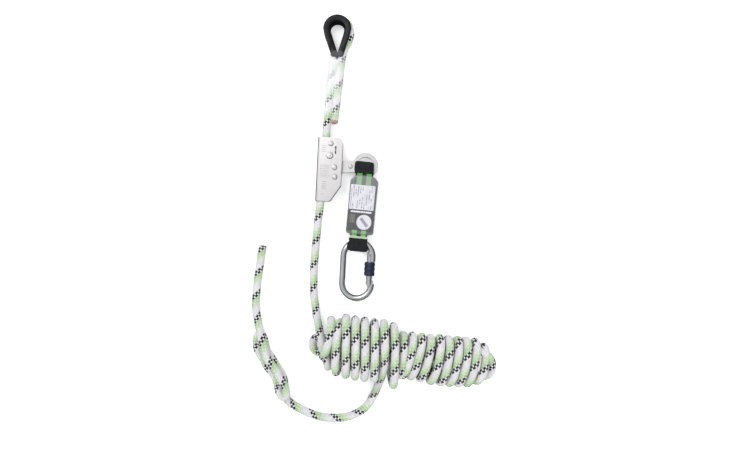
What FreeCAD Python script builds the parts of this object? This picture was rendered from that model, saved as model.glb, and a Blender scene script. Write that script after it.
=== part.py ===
import FreeCAD, Part
import math
import os

# Rope grab fall arrester on its own anchor line, laid flat. Millimetres, +Z up, floor at z = 0.
# The origin lies under the middle of the hardware; +Y runs up the line towards the anchor eye.

V = FreeCAD.Vector
Z_AXIS = V(0, 0, 1)

# ---- shared sizes -------------------------------------------------------------------------------
rope_d = 14.0
line_z = 11.0                      # height of the rope's axis where the grab rides on it
running_gap = 0.05                 # radial clearance of a pin in its hole
soft_gap = 0.4                     # clearance round webbing and rope

# ---- rope grab body -----------------------------------------------------------------------------
body_base = V(-51.9, -18.0, 0)     # middle of the spine's outer face
body_tilt = -2.8                   # degrees from +Y
body_length = 110.5
body_width = 43.0
body_wall = 2.0
channel_inside = 15.0
body_corner_r = 9.0
chamfer_rise = 28.0                # corner cut away at the lower right
chamfer_run = 18.0
spine_bend_r = 3.0
slot_at = (31.5, 33.6)
slot_length = 13.5
slot_width = 2.4
rope_tilt = -4.6
rope_from_spine = 11.15            # rope axis to the spine's outer face, half way up the body

# ---- rivets: place across and along the body, shank radius, head radius -----------------------------
rivet_head_t = 1.4
top_rivet = {"at": (22.8, 44.3), "shank_r": 3.0, "head_r": 4.5}
guide_rivet = {"at": (21.8, 23.8), "shank_r": 2.5, "head_r": 6.2}
pivot_rivet = {"at": (30.7, 3.8), "shank_r": 3.5, "head_r": 5.0}
stop_rivet = {"at": (32.0, -12.9), "shank_r": 2.5, "head_r": 4.8}

# ---- lever --------------------------------------------------------------------------------------
lever_t = 6.0
lever_w = 20.0
lever_angle = 4.3                  # degrees above +X
lever_reach = 54.0                 # pivot to eye centre
eye_outer_r = 22.0
eye_inner_r = 14.5
lever_hub_r = 10.0
lever_rivet_at = 27.8
lever_rivet_shank_r = 2.4
lever_rivet_head_r = 3.8
cam_t = 13.0
cam_nose_gap = 0.5                 # cam to rope at rest
cam_offset = 2.3                   # the cam's circle sits this far off the pivot, so it closes on the rope
cam_half_angle = 52.0
spacer_wall = 2.5

# ---- gravity catch ----------------------------------------------------------------------------------
catch_travel = 3.5
catch_size = (6.0, 7.0, 12.6)      # across, along, thick
catch_tab = (1.8, 5.0)             # the tab that shows in the slot

# ---- energy absorber: a runs right, b runs up from the eye's centre ----------------------------------
absorber_tilt = -5.6
strap_w = 35.0
strap_t = 4.0
strap_narrow_w = 22.0              # webbing gathered where it goes through a ring
upper_fold_top = 8.0
sleeve_end_b = -13.5
pack_top_b = -27.0
pack_bottom_b = -119.0
pack_w = 47.4
pack_h = 23.0
shoulder_rise = 9.0
neck_w = 32.0
cover_t = 0.8
core_gap = 0.3
label_t = 0.4
lower_sleeve_b = -129.5
lower_fold_b = -149.0
lower_fold_t = 3.5
lower_fold_a = 1.0
lower_run_t = 2.4
lower_top_z = 16.0
lower_strap_h = 19.0

# ---- karabiner: x across, y up from the centre of its upper bend --------------------------------------
kara_at = V(19.6, -170.3, 8.566)
kara_turn = -3.2
kara_slope_x = 0.0688              # it leans on its sleeve and on the webbing
kara_slope_y = 0.0324
wire_r = 5.0
bend_r = 25.75
straight = 48.0
gate_x = 21.3
gate_r = 5.0
gate_top_y = 8.2
gate_pocket_y = 9.0
nose_drop = 8.0
hinge_at = (22.5, -46.0)
hinge_pin_r = 1.5
tongue_t = 4.0
tongue_r = 6.6
fork_gap = 0.15
latch_pin_r = 1.2
latch_pin_y = 3.5
sleeve_r = 9.25
sleeve_top_y = -9.0
sleeve_length = 24.0
sleeve_grooves = 2

# ---- anchor eye ----------------------------------------------------------------------------------
thimble_at = V(-16.0, 224.0, 0)
thimble_h = 22.0
thimble_r = 24.5
thimble_hole_r = 13.3
thimble_hole_tip = 36.6            # hole centre to the point of the hole
thimble_flange_tip = 76.0          # where the flange's sides would meet
thimble_cut = 48.0                 # flange ends this far below the centre
thimble_wall = 2.2
thimble_flange_t = 3.0
eye_slack = V(4.6, -3.0, 0)        # the rope sits loose on the right of the thimble

# ---- sewn splice -----------------------------------------------------------------------------------
splice_top_y = 174.0
splice_left_x = -22.8
splice_right_x = -9.3
splice_end_y = 58.0
dead_leg_end = V(-22.0, 66.0, 11.0)
sleeve_end_y = 108.0
shrink_t = 0.6
melted_t = 3.0

# ---- rope routes ------------------------------------------------------------------------------------
travel_end_y = -135.0              # the rope is straight down to here
run_points = [V(-56, -186, 8.5), V(-58, -232, 7), V(-53.5, -272, 7), V(-42, -306, 9)]
tail_points = [V(70, -368, 9), V(59, -390, 7), V(49, -410, 7), V(37, -432, 7), V(16, -448.5, 7),
               V(-18, -455.5, 7), V(-54, -451, 7), V(-86, -435, 7), V(-107, -414, 7)]
knot_points = [V(-107, -414, 13), V(-117, -391, 13), V(-133, -361, 13), V(-147, -331, 13), V(-152, -304, 13)]
knot_r = 13.0
end_points = [V(-152, -304, 7), V(-157.5, -284, 7), V(-160, -264, 7), V(-159.5, -240, 7), V(-156, -207, 7),
              V(-150.5, -172, 7), V(-147.6, -151.5, 7)]

# ---- hank: x, upper y, lower y and thickness of each station; the left part has a second layer of turns ----
hank_stations = [(-60, -328, -346, 16), (-50, -296, -348, 48), (-34, -276, -362, 62), (-2, -268, -378, 68),
                 (30, -273, -384, 68), (62, -277, -389, 66), (86, -285, -396, 60), (95, -298, -386, 52),
                 (145, -303, -389, 52), (205, -309, -394, 50), (234, -315, -391, 44), (248, -330, -383, 34),
                 (257, -346, -368, 18)]


def turned(degrees):
    """Unit vectors across and along something tilted by degrees from +Y."""
    t = math.radians(degrees)
    return V(math.cos(t), math.sin(t), 0), V(-math.sin(t), math.cos(t), 0)


body_across, body_along = turned(body_tilt)
rope_across, rope_along = turned(rope_tilt)
absorber_across, absorber_along = turned(absorber_tilt)


def on_body(x, y, z=0.0):
    return body_base + body_across * x + body_along * y + V(0, 0, z)


pivot_point = on_body(*pivot_rivet["at"])
lever_dir = V(math.cos(math.radians(lever_angle)), math.sin(math.radians(lever_angle)), 0)
lever_side = V(-lever_dir.y, lever_dir.x, 0)
eye_point = pivot_point + lever_dir * lever_reach
rope_point = on_body(rope_from_spine, 0, line_z)


def on_rope(y):
    """Point of the straight run at height y."""
    return rope_point + rope_along * ((y - rope_point.y) / rope_along.y)


def on_lever(x, y, z=0.0):
    return pivot_point + lever_dir * x + lever_side * y + V(0, 0, z)


def on_absorber(a, b, z=0.0):
    return eye_point + absorber_across * a + absorber_along * b + V(0, 0, z)


# ---- solid helpers ----------------------------------------------------------------------------------
def prism(points, z0, z1):
    """Upright prism on a closed outline of points."""
    low = [V(p.x, p.y, z0) for p in points]
    face = Part.Face(Part.makePolygon(low + [low[0]]))
    return face.extrude(V(0, 0, z1 - z0))


def disc(centre, radius, z0, z1):
    return Part.makeCylinder(radius, z1 - z0, V(centre.x, centre.y, z0), Z_AXIS)


def rounded(shape, radius, pick):
    """Fillets the edges that pick chooses."""
    return shape.makeFillet(radius, [e for e in shape.Edges if pick(e)])


def is_upright(edge):
    return len(edge.Vertexes) == 2 and abs(edge.tangentAt(edge.FirstParameter).z) > 0.99


def strap(place, a0, a1, b0, b1, z0, z1):
    """Block with its sides along a frame given by place(a, b)."""
    return prism([place(a0, b0), place(a1, b0), place(a1, b1), place(a0, b1)], z0, z1)


def tube(points, radius):
    """Round rope along straight runs joined by tangent arcs."""
    edges = []
    start = points[0]
    radii = []
    for before, corner, after in zip(points, points[1:], points[2:]):
        back = (before - corner).normalize()
        ahead = (after - corner).normalize()
        half_turn = (math.pi - back.getAngle(ahead)) / 2
        cut = 0.45 * min((before - corner).Length, (after - corner).Length)
        first, last = corner + back * cut, corner + ahead * cut
        inward = (back + ahead).normalize()
        bend = cut / math.tan(half_turn)
        middle = corner + inward * (bend / math.cos(half_turn) - bend)
        edges.append(Part.LineSegment(start, first).toShape())
        edges.append(Part.Arc(first, middle, last).toShape())
        radii.append(round(bend))
        start = last
    edges.append(Part.LineSegment(start, points[-1]).toShape())
    path = Part.Wire(edges)
    direction = points[1] - points[0]
    ring = Part.Wire([Part.makeCircle(radius, points[0], direction)])
    solid = path.makePipeShell([ring], True, True)
    expected = math.pi * radius * radius * path.Length
    print("tube radii", radii, "length", round(path.Length), "volume ratio", round(solid.Volume / expected, 4))
    return solid


# ---- rope grab --------------------------------------------------------------------------------------
def body_outline(inset, spine_inset):
    w, h = body_width - inset, body_length / 2
    outline = [on_body(spine_inset, -h), on_body(w - chamfer_run, -h), on_body(w, -h + chamfer_rise),
               on_body(w, h), on_body(spine_inset, h)]
    return outline


def make_body_channel():
    half_out = channel_inside / 2 + body_wall
    outer = prism(body_outline(0, 0), line_z - half_out, line_z + half_out)
    top_right = on_body(body_width, body_length / 2)
    outer = rounded(outer, body_corner_r,
                    lambda e: is_upright(e) and (e.CenterOfMass - top_right).Length < half_out + line_z + 1)
    foot_corners = [on_body(body_width - chamfer_run, -body_length / 2),
                    on_body(body_width, -body_length / 2 + chamfer_rise)]
    outer = rounded(outer, body_corner_r / 2, lambda e: is_upright(e) and min(
        math.hypot(e.CenterOfMass.x - c.x, e.CenterOfMass.y - c.y) for c in foot_corners) < 1)
    outer = rounded(outer, spine_bend_r, lambda e: abs(e.CenterOfMass.sub(on_body(0, 0, e.CenterOfMass.z)).Length) < 1
                    and e.Length > body_length * 0.9)
    margin = 5.0
    h = body_length / 2 + margin
    inside = prism([on_body(body_wall, -h), on_body(body_width + margin, -h),
                    on_body(body_width + margin, h), on_body(body_wall, h)],
                   line_z - channel_inside / 2, line_z + channel_inside / 2)
    channel = outer.cut(inside)
    for rivet in (top_rivet, guide_rivet, pivot_rivet, stop_rivet):
        channel = channel.cut(disc(on_body(*rivet["at"]), rivet["shank_r"], 0, line_z * 2))
    half = slot_length / 2 - slot_width / 2
    x, y = slot_at
    slot = strap(on_body, x - slot_width / 2, x + slot_width / 2, y - half, y + half, line_z, line_z * 2)
    for end in (-half, half):
        slot = slot.fuse(disc(on_body(x, y + end), slot_width / 2, line_z, line_z * 2))
    return channel.cut(slot)


def make_rivet(centre, shank_r, head_r, low, high):
    """Shank between the plates with a domed head outside each."""
    rivet = disc(centre, shank_r, low, high)
    for face, side in ((high, 1), (low, -1)):
        z0 = face if side > 0 else face - rivet_head_t
        head = disc(centre, head_r, z0, z0 + rivet_head_t)
        rim = z0 + rivet_head_t if side > 0 else z0
        head = rounded(head, rivet_head_t * 0.6, lambda e: abs(e.CenterOfMass.z - rim) < 0.01 and e.Closed)
        rivet = rivet.fuse(head)
    return rivet.removeSplitter()


def body_rivet(rivet):
    half_out = channel_inside / 2 + body_wall
    return make_rivet(on_body(*rivet["at"]), rivet["shank_r"], rivet["head_r"], line_z - half_out, line_z + half_out)


def make_pivot_spacers():
    bush_r = pivot_rivet["shank_r"] + spacer_wall
    half_in, half_lever = channel_inside / 2, cam_t / 2 + 0.2
    parts_of = []
    for z0, z1 in ((line_z - half_in, line_z - half_lever), (line_z + half_lever, line_z + half_in)):
        bush = disc(pivot_point, bush_r, z0, z1)
        parts_of.append(bush.cut(disc(pivot_point, pivot_rivet["shank_r"], z0, z1)))
    return Part.makeCompound(parts_of)


def make_lever_spring():
    """Flat return spring clipped round the stop rivet, its arm lying under the lever."""
    wire = 1.2
    z0 = line_z - channel_inside / 2 + 0.4
    centre = on_body(*stop_rivet["at"])
    ring = disc(centre, stop_rivet["shank_r"] + wire, z0, z0 + wire)
    x, y = stop_rivet["at"]
    arm = strap(on_body, x - wire / 2, x + wire / 2, y - stop_rivet["shank_r"] - 14, y - stop_rivet["shank_r"], z0,
                z0 + wire)
    return ring.fuse(arm).cut(disc(centre, stop_rivet["shank_r"], z0, z0 + wire)).removeSplitter()


# ---- lever ---------------------------------------------------------------------------------------------
lever_z0, lever_z1 = line_z - lever_t / 2, line_z + lever_t / 2


def make_lever_arm():
    arm = disc(pivot_point, lever_hub_r, lever_z0, lever_z1)
    arm = arm.fuse(strap(on_lever, 0, lever_reach - eye_inner_r, -lever_w / 2, lever_w / 2, lever_z0, lever_z1))
    arm = arm.fuse(disc(eye_point, eye_outer_r, lever_z0, lever_z1)).removeSplitter()
    neck_x = lever_reach - math.sqrt(eye_outer_r ** 2 - (lever_w / 2) ** 2)
    necks = [on_lever(neck_x, side * lever_w / 2) for side in (-1, 1)]
    arm = rounded(arm, 6.0, lambda e: is_upright(e) and min(
        math.hypot(e.CenterOfMass.x - n.x, e.CenterOfMass.y - n.y) for n in necks) < 0.5)
    arm = arm.cut(disc(eye_point, eye_inner_r, lever_z0, lever_z1))
    arm = arm.cut(disc(pivot_point, pivot_rivet["shank_r"] + running_gap, lever_z0, lever_z1))
    return arm.cut(disc(on_lever(lever_rivet_at, 0), lever_rivet_shank_r, lever_z0, lever_z1))


def make_lever_rivet():
    return make_rivet(on_lever(lever_rivet_at, 0), lever_rivet_shank_r, lever_rivet_head_r, lever_z0, lever_z1)


def cam_reach():
    """Pivot to cam nose, so that the nose stops just short of the rope."""
    to_rope = (pivot_point - rope_point).dot(rope_across)
    return to_rope - rope_d / 2 - cam_nose_gap


def make_cam_pad():
    """Steel cam that wraps the lever's hub on the rope's side and closes on the rope as the lever drops."""
    z0, z1 = line_z - cam_t / 2, line_z + cam_t / 2
    reach = cam_reach()
    pad = disc(pivot_point - rope_along * cam_offset, math.hypot(reach, cam_offset), z0, z1)
    spread = math.radians(cam_half_angle)
    far = reach * 2
    side = rope_across * (far * math.cos(spread))
    rise = rope_along * (far * math.sin(spread))
    pad = pad.common(prism([pivot_point, pivot_point - side + rise, pivot_point - rope_across * far * 1.5,
                            pivot_point - side - rise], z0, z1))
    return pad.cut(disc(pivot_point, lever_hub_r, z0, z1))


def make_gravity_slider():
    width, length, thick = catch_size
    x, y = slot_at
    z0 = line_z - thick / 2
    slider = strap(on_body, x - width / 2, x + width / 2, y - length / 2, y + length / 2, z0, z0 + thick)
    tab_w, tab_l = catch_tab
    tab = strap(on_body, x - tab_w / 2, x + tab_w / 2, y - tab_l / 2, y + tab_l / 2, z0 + thick,
                line_z + channel_inside / 2 + body_wall)
    return slider.fuse(tab).removeSplitter()


# ---- energy absorber -------------------------------------------------------------------------------------
strap_z0 = lever_z0 - soft_gap - strap_t
strap_z1 = lever_z1 + soft_gap + strap_t


def strap_layers(a_half, b0, b1, z0, z1, thick_low, thick_high, centre=0.0):
    """The two runs of a strap, over and under a ring."""
    low = strap(on_absorber, centre - a_half, centre + a_half, b0, b1, z0, z0 + thick_low)
    high = strap(on_absorber, centre - a_half, centre + a_half, b0, b1, z1 - thick_high, z1)
    return low, high


def make_upper_sleeve():
    low, high = strap_layers(strap_w / 2, sleeve_end_b, upper_fold_top, strap_z0, strap_z1, strap_t, strap_t)
    fold = strap(on_absorber, -strap_narrow_w / 2, strap_narrow_w / 2, 2.0, upper_fold_top, strap_z0, strap_z1)
    sleeve = fold.fuse([low, high]).removeSplitter()
    corner_pick = [on_absorber(s * strap_w / 2, upper_fold_top) for s in (-1, 1)]
    return rounded(sleeve, 5.0, lambda e: is_upright(e) and min(
        math.hypot(e.CenterOfMass.x - c.x, e.CenterOfMass.y - c.y) for c in corner_pick) < 0.5)


def make_upper_webbing():
    split_b = -eye_outer_r - soft_gap
    half = neck_w / 2 - 0.5
    low, high = strap_layers(half, split_b, sleeve_end_b, strap_z0, strap_z1, strap_t, strap_t)
    stack = strap(on_absorber, -half, half, pack_top_b - core_gap, split_b, strap_z0, strap_z1)
    return stack.fuse([low, high]).removeSplitter()


def pack_outline(inset):
    half, neck = pack_w / 2 - inset, neck_w / 2 - inset / 2
    top, bottom = pack_top_b + shoulder_rise - inset, pack_bottom_b + inset
    points = [(-half, bottom + shoulder_rise / 3), (-half + shoulder_rise / 3, bottom),
              (half - shoulder_rise / 3, bottom), (half, bottom + shoulder_rise / 3), (half, pack_top_b),
              (neck, top), (-neck, top), (-half, pack_top_b)]
    return [on_absorber(a, b) for a, b in points]


def make_pack_cover():
    shell = prism(pack_outline(0), 0, pack_h)
    shell = rounded(shell, 3.0, lambda e: not is_upright(e) and e.Length > 12 and abs(
        (e.CenterOfMass - on_absorber(0, pack_bottom_b / 2, e.CenterOfMass.z)).dot(absorber_across)) > neck_w / 2 + 2)
    shell = shell.cut(prism(pack_outline(cover_t), cover_t, pack_h - cover_t))
    half = neck_w / 2 - 0.4
    for b0, b1 in ((pack_top_b - 4, pack_top_b + shoulder_rise + 2), (pack_bottom_b - 2, pack_bottom_b + 4)):
        shell = shell.cut(strap(on_absorber, -half, half, b0, b1, strap_z0 - core_gap, strap_z1 + 1.2))
    return shell


def make_tear_webbing():
    inset = cover_t + core_gap
    core = prism(pack_outline(inset), inset, pack_h - inset - label_t)
    above = strap(on_absorber, -pack_w, pack_w, pack_top_b - core_gap, 0, 0, pack_h)
    return core.cut(above)


def make_label_sheet():
    half = pack_w / 2 - cover_t - 3.2
    z1 = pack_h - cover_t - core_gap
    return strap(on_absorber, -half, half, pack_bottom_b + 11.0, pack_top_b - 4.0, z1 - label_t, z1)


def make_lower_webbing():
    half = neck_w / 2 - 1.0
    split_b = pack_bottom_b - 7.0
    stack = strap(on_absorber, -half, half, split_b, pack_bottom_b + cover_t + core_gap, strap_z0, strap_z1)
    high = strap(on_absorber, -half, half, lower_sleeve_b, split_b, lower_top_z, strap_z1)
    return stack.fuse(high).removeSplitter()


def make_lower_sleeve():
    half = neck_w / 2 - 1.0
    foot = strap_w / 2
    skirt = [on_absorber(-half, lower_sleeve_b), on_absorber(half, lower_sleeve_b),
             on_absorber(foot, lower_fold_b + 3), on_absorber(foot - 4, lower_fold_b),
             on_absorber(-foot + 4, lower_fold_b), on_absorber(-foot, lower_fold_b + 3)]
    high = prism(skirt, lower_top_z, lower_strap_h)
    low = prism(skirt, 0, lower_run_t)
    centre, width = lower_fold_a, strap_narrow_w / 2
    fold = strap(on_absorber, centre - width, centre + width, lower_fold_b, lower_fold_b + lower_fold_t, 0,
                 lower_strap_h)
    return fold.fuse([high, low]).removeSplitter()


# ---- karabiner -------------------------------------------------------------------------------------------
def kara_placement():
    lean = FreeCAD.Rotation(Z_AXIS, V(-kara_slope_x, -kara_slope_y, 1))
    turn = FreeCAD.Rotation(Z_AXIS, kara_turn)
    return FreeCAD.Placement(kara_at, turn.multiply(lean))


kara_place = kara_placement()


def placed(shape):
    shape = shape.copy()
    shape.Placement = kara_place.multiply(shape.Placement)
    return shape


def make_karabiner_frame():
    low_y = -straight
    path = Part.Wire([
        Part.LineSegment(V(bend_r, -nose_drop, 0), V(bend_r, 0, 0)).toShape(),
        Part.Arc(V(bend_r, 0, 0), V(0, bend_r, 0), V(-bend_r, 0, 0)).toShape(),
        Part.LineSegment(V(-bend_r, 0, 0), V(-bend_r, low_y, 0)).toShape(),
        Part.Arc(V(-bend_r, low_y, 0), V(0, low_y - bend_r, 0), V(bend_r, low_y, 0)).toShape()])
    ring = Part.Wire([Part.makeCircle(wire_r, V(bend_r, -nose_drop, 0), V(0, 1, 0))])
    frame = path.makePipeShell([ring], True, False)
    hinge = V(hinge_at[0], hinge_at[1], 0)
    pocket = Part.makeCylinder(gate_r + 0.35, 60, V(gate_x, gate_pocket_y - 60, 0), V(0, 1, 0))
    pocket = pocket.fuse(Part.makeBox(20, 60, 4 * wire_r, V(gate_x - 20, gate_pocket_y - 60, -2 * wire_r)))
    keep_low = Part.makeBox(90, 60, 40, V(-45, hinge_at[1] - 60, -20))
    frame = frame.cut(pocket.cut(keep_low))
    fork_zone = disc(hinge, gate_r + 0.6, -2 * wire_r, 2 * wire_r)
    frame = frame.cut(fork_zone)
    half = tongue_t / 2
    tongue = disc(hinge, tongue_r, -half, half)
    tongue = tongue.fuse(prism([V(hinge.x - 4, hinge.y - 8, 0), V(bend_r + 1, hinge.y - 8, 0),
                                V(bend_r + 1, hinge.y, 0), V(hinge.x - 4, hinge.y, 0)], -half, half))
    frame = frame.fuse(tongue).removeSplitter()
    return frame.cut(disc(hinge, hinge_pin_r, -half, half))


def make_gate_tube():
    hinge = V(hinge_at[0], hinge_at[1], 0)
    gate = Part.makeCylinder(gate_r, gate_top_y - hinge.y, V(gate_x, hinge.y, 0), V(0, 1, 0))
    gate = rounded(gate, 0.8, lambda e: e.Closed and abs(e.CenterOfMass.y - gate_top_y) < 0.1)
    foot = disc(hinge, gate_r - 0.4, -gate_r, gate_r)
    barrel = Part.makeCylinder(gate_r, 12, V(gate_x, hinge.y - 6, 0), V(0, 1, 0))
    gate = gate.fuse(foot.common(barrel))
    half = tongue_t / 2 + fork_gap
    slit = Part.makeBox(30, tongue_r + 8.4, 2 * half, V(hinge.x - 15, hinge.y - 8, -half))
    gate = gate.cut(slit)
    gate = gate.cut(disc(hinge, hinge_pin_r + running_gap, -gate_r, gate_r))
    latch_slot = Part.makeBox(2.4, 7.0, 4 * gate_r, V(gate_x - 1.2, gate_top_y - 7.0, -2 * gate_r))
    gate = gate.cut(latch_slot)
    latch = Part.makeCylinder(latch_pin_r, 3 * gate_r, V(gate_x - 1.5 * gate_r, latch_pin_y, 0), V(1, 0, 0))
    return gate.cut(latch).removeSplitter()


def make_latch_pin():
    inner = math.sqrt(gate_r ** 2 - latch_pin_r ** 2)
    return Part.makeCylinder(latch_pin_r, 2 * inner, V(gate_x - inner, latch_pin_y, 0), V(1, 0, 0))


def make_hinge_pin():
    reach = gate_r - 0.9
    return disc(V(hinge_at[0], hinge_at[1], 0), hinge_pin_r, -reach, reach)


def make_lock_sleeve():
    bottom = sleeve_top_y - sleeve_length
    sleeve = Part.makeCylinder(sleeve_r, sleeve_length, V(gate_x, bottom, 0), V(0, 1, 0))
    sleeve = rounded(sleeve, 1.6, lambda e: e.Closed and abs(e.Length - 2 * math.pi * sleeve_r) < 0.1)
    band = sleeve_length / (sleeve_grooves + 1)
    for n in range(sleeve_grooves):
        ring = Part.makeTorus(sleeve_r + 0.9, 1.9, V(gate_x, bottom + band * (n + 1), 0), V(0, 1, 0))
        sleeve = sleeve.cut(ring)
    return sleeve.cut(Part.makeCylinder(gate_r + running_gap, sleeve_length, V(gate_x, bottom, 0), V(0, 1, 0)))


# ---- anchor eye --------------------------------------------------------------------------------------------
def teardrop(centre, radius, tip, z0, z1):
    """Disc drawn out to a point that lies tip below its centre."""
    lean = math.asin(radius / tip)
    side = V(radius * math.cos(lean), -radius * math.sin(lean), 0)
    other = V(-side.x, side.y, 0)
    drop = disc(centre, radius, z0, z1)
    return drop.fuse(prism([centre + side, centre + V(0, -tip, 0), centre + other, centre], z0, z1)).removeSplitter()


def below(y, z1):
    """Everything lower than y, for trimming the eye's legs."""
    return Part.makeBox(300, 200, z1 + 2, V(-150, y - 200, -1))


def make_thimble():
    wall_tip = thimble_hole_tip * (thimble_hole_r + thimble_wall) / thimble_hole_r
    hole = teardrop(thimble_at, thimble_hole_r, thimble_hole_tip, -1, thimble_h + 1)
    solid = teardrop(thimble_at, thimble_hole_r + thimble_wall, wall_tip, 0, thimble_h)
    for z0 in (0, thimble_h - thimble_flange_t):
        solid = solid.fuse(teardrop(thimble_at, thimble_r, thimble_flange_tip, z0, z0 + thimble_flange_t))
    return solid.cut(hole).cut(below(thimble_at.y - thimble_cut, thimble_h)).removeSplitter()


def make_eye_rope():
    z0, z1 = thimble_flange_t + 0.3, thimble_h - thimble_flange_t - 0.3
    wall_tip = thimble_hole_tip * (thimble_hole_r + thimble_wall) / thimble_hole_r
    rope = teardrop(thimble_at, thimble_r - 0.3, thimble_flange_tip, z0, z1)
    rope = rope.fuse(teardrop(thimble_at + eye_slack, thimble_r + 0.5, thimble_flange_tip, z0, z1))
    rope = rope.cut(teardrop(thimble_at, thimble_hole_r + thimble_wall, wall_tip, z0, z1))
    return rope.cut(below(splice_top_y, thimble_h)).removeSplitter()


def cone_leg(start, end, radius):
    return Part.makeCylinder(radius, (end - start).Length, start, end - start)


def make_eye_splice():
    top_left = V(splice_left_x, splice_top_y, line_z)
    top_right = V(splice_right_x, splice_top_y, line_z)
    live = cone_leg(top_left, on_rope(splice_end_y), rope_d / 2)
    dead = cone_leg(top_right, dead_leg_end, rope_d / 2)
    splice = live.fuse(dead).removeSplitter()
    above = Part.makeBox(200, 100, 60, V(-100, splice_top_y, -10))
    return splice.cut(above)


def make_melted_end():
    along = (dead_leg_end - V(splice_right_x, splice_top_y, line_z)).normalize()
    return cone_leg(dead_leg_end, dead_leg_end + along * melted_t, rope_d / 2 - 1).cut(make_eye_splice())


def make_splice_sleeve():
    """Shrink sleeve drawn tight round both legs."""
    top_mid = V((splice_left_x + splice_right_x) / 2, splice_top_y, line_z)
    low_mid = (on_rope(splice_end_y) + dead_leg_end) * 0.5
    share = (splice_top_y - sleeve_end_y) / (splice_top_y - low_mid.y)
    end_mid = top_mid + (low_mid - top_mid) * share
    along = end_mid - top_mid
    half_top = (splice_right_x - splice_left_x) / 2 + rope_d / 2 + 0.3
    half_low = half_top - 0.6

    def oval(centre, grow, half):
        curve = Part.Ellipse(centre, half + grow, rope_d / 2 + 2.6 + grow).toShape()
        curve.rotate(centre, V(1, 0, 0), 90)
        return Part.Wire([curve])

    outer = Part.makeLoft([oval(top_mid, shrink_t, half_top), oval(end_mid, shrink_t, half_low)], True, True)
    inner = Part.makeLoft([oval(top_mid - along * 0.01, 0, half_top), oval(end_mid + along * 0.01, 0, half_low)],
                          True, True)
    return outer.cut(inner)


# ---- rope ------------------------------------------------------------------------------------------------
def make_rope_run():
    return tube([on_rope(splice_end_y), on_rope(travel_end_y)] + run_points, rope_d / 2)


def make_rope_hank():
    ovals = []
    for x, high, low, thick in hank_stations:
        curve = Part.Ellipse(V(0, 0, 0), (high - low) / 2, thick / 2).toShape()
        upright = FreeCAD.Rotation(V(0, 1, 0), V(0, 0, 1), V(1, 0, 0), "XYZ")
        curve.Placement = FreeCAD.Placement(V(x, (high + low) / 2, thick / 2 - 1), upright)
        ovals.append(Part.Wire([curve]))
    hank = Part.makeLoft(ovals, True, True)
    under = Part.makeBox(600, 400, 20, V(-200, -500, -20))
    return hank.cut(under)


# ---- nodes -----------------------------------------------------------------------------------------------
def all_nodes():
    nodes = {
        "thimble": make_thimble(), "eye_rope": make_eye_rope(), "eye_splice": make_eye_splice(),
        "splice_sleeve": make_splice_sleeve(), "melted_end": make_melted_end(),
        "rope_run": make_rope_run(), "rope_hank": make_rope_hank(), "rope_tail": tube(tail_points, rope_d / 2),
        "stopper_knot": tube(knot_points, knot_r), "rope_end": tube(end_points, rope_d / 2),
        "grab_body": make_body_channel(), "top_rivet": body_rivet(top_rivet), "guide_rivet": body_rivet(guide_rivet),
        "pivot_rivet": body_rivet(pivot_rivet), "stop_rivet": body_rivet(stop_rivet),
        "pivot_spacers": make_pivot_spacers(), "lever_spring": make_lever_spring(),
        "gravity_slider": make_gravity_slider(),
        "lever_arm": make_lever_arm(), "cam_pad": make_cam_pad(), "lever_rivet": make_lever_rivet(),
        "upper_sleeve": make_upper_sleeve(), "upper_webbing": make_upper_webbing(),
        "pack_cover": make_pack_cover(), "tear_webbing": make_tear_webbing(), "label_sheet": make_label_sheet(),
        "lower_webbing": make_lower_webbing(), "lower_sleeve": make_lower_sleeve(),
    }
    for name, make in (("karabiner_frame", make_karabiner_frame), ("gate_hinge_pin", make_hinge_pin),
                       ("gate_tube", make_gate_tube), ("gate_latch_pin", make_latch_pin),
                       ("lock_sleeve", make_lock_sleeve)):
        nodes[name] = placed(make())
    return nodes


def main():
    os.makedirs("parts", exist_ok=True)
    for name, shape in all_nodes().items():
        print(name, len(shape.Solids), shape.isValid(), round(shape.Volume))
        shape.exportStep("parts/" + name + ".step")


if __name__ == "__main__":
    main()
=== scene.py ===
import math
import random
from functools import partial

import bmesh
import bpy
from mathutils import Matrix, Vector


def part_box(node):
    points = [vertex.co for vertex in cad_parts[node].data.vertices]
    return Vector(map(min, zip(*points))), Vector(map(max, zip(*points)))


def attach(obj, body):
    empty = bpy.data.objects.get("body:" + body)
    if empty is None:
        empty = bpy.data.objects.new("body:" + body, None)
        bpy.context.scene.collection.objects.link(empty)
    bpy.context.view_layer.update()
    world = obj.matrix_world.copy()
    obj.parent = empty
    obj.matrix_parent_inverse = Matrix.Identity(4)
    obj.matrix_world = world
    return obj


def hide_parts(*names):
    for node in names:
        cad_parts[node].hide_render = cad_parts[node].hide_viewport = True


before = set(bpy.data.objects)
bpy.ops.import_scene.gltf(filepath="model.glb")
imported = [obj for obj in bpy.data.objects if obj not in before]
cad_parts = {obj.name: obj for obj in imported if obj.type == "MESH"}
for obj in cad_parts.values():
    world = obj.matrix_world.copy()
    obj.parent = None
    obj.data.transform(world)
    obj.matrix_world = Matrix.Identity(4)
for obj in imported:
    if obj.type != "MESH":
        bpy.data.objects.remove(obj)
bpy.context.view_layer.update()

mm = 0.001
random.seed(7)


# camera, light and floor

cameraValues = {
    "place": (0.0371, -0.1243, 0.910),    # metres, straight above the middle of the layout
    "lens": 25.155,                        # millimetres on a 36 mm sensor
}
lightValues = {
    # name: place, size across (m), power (W)
    "keySoftbox": ((-0.75, 0.65, 1.35), 1.1, 17.0),
    "fillSoftbox": ((0.95, -0.2, 1.2), 1.3, 7.5),
    "lowRim": ((0.1, -1.3, 0.7), 0.9, 4.0),
    "world": 0.55,
}


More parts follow.
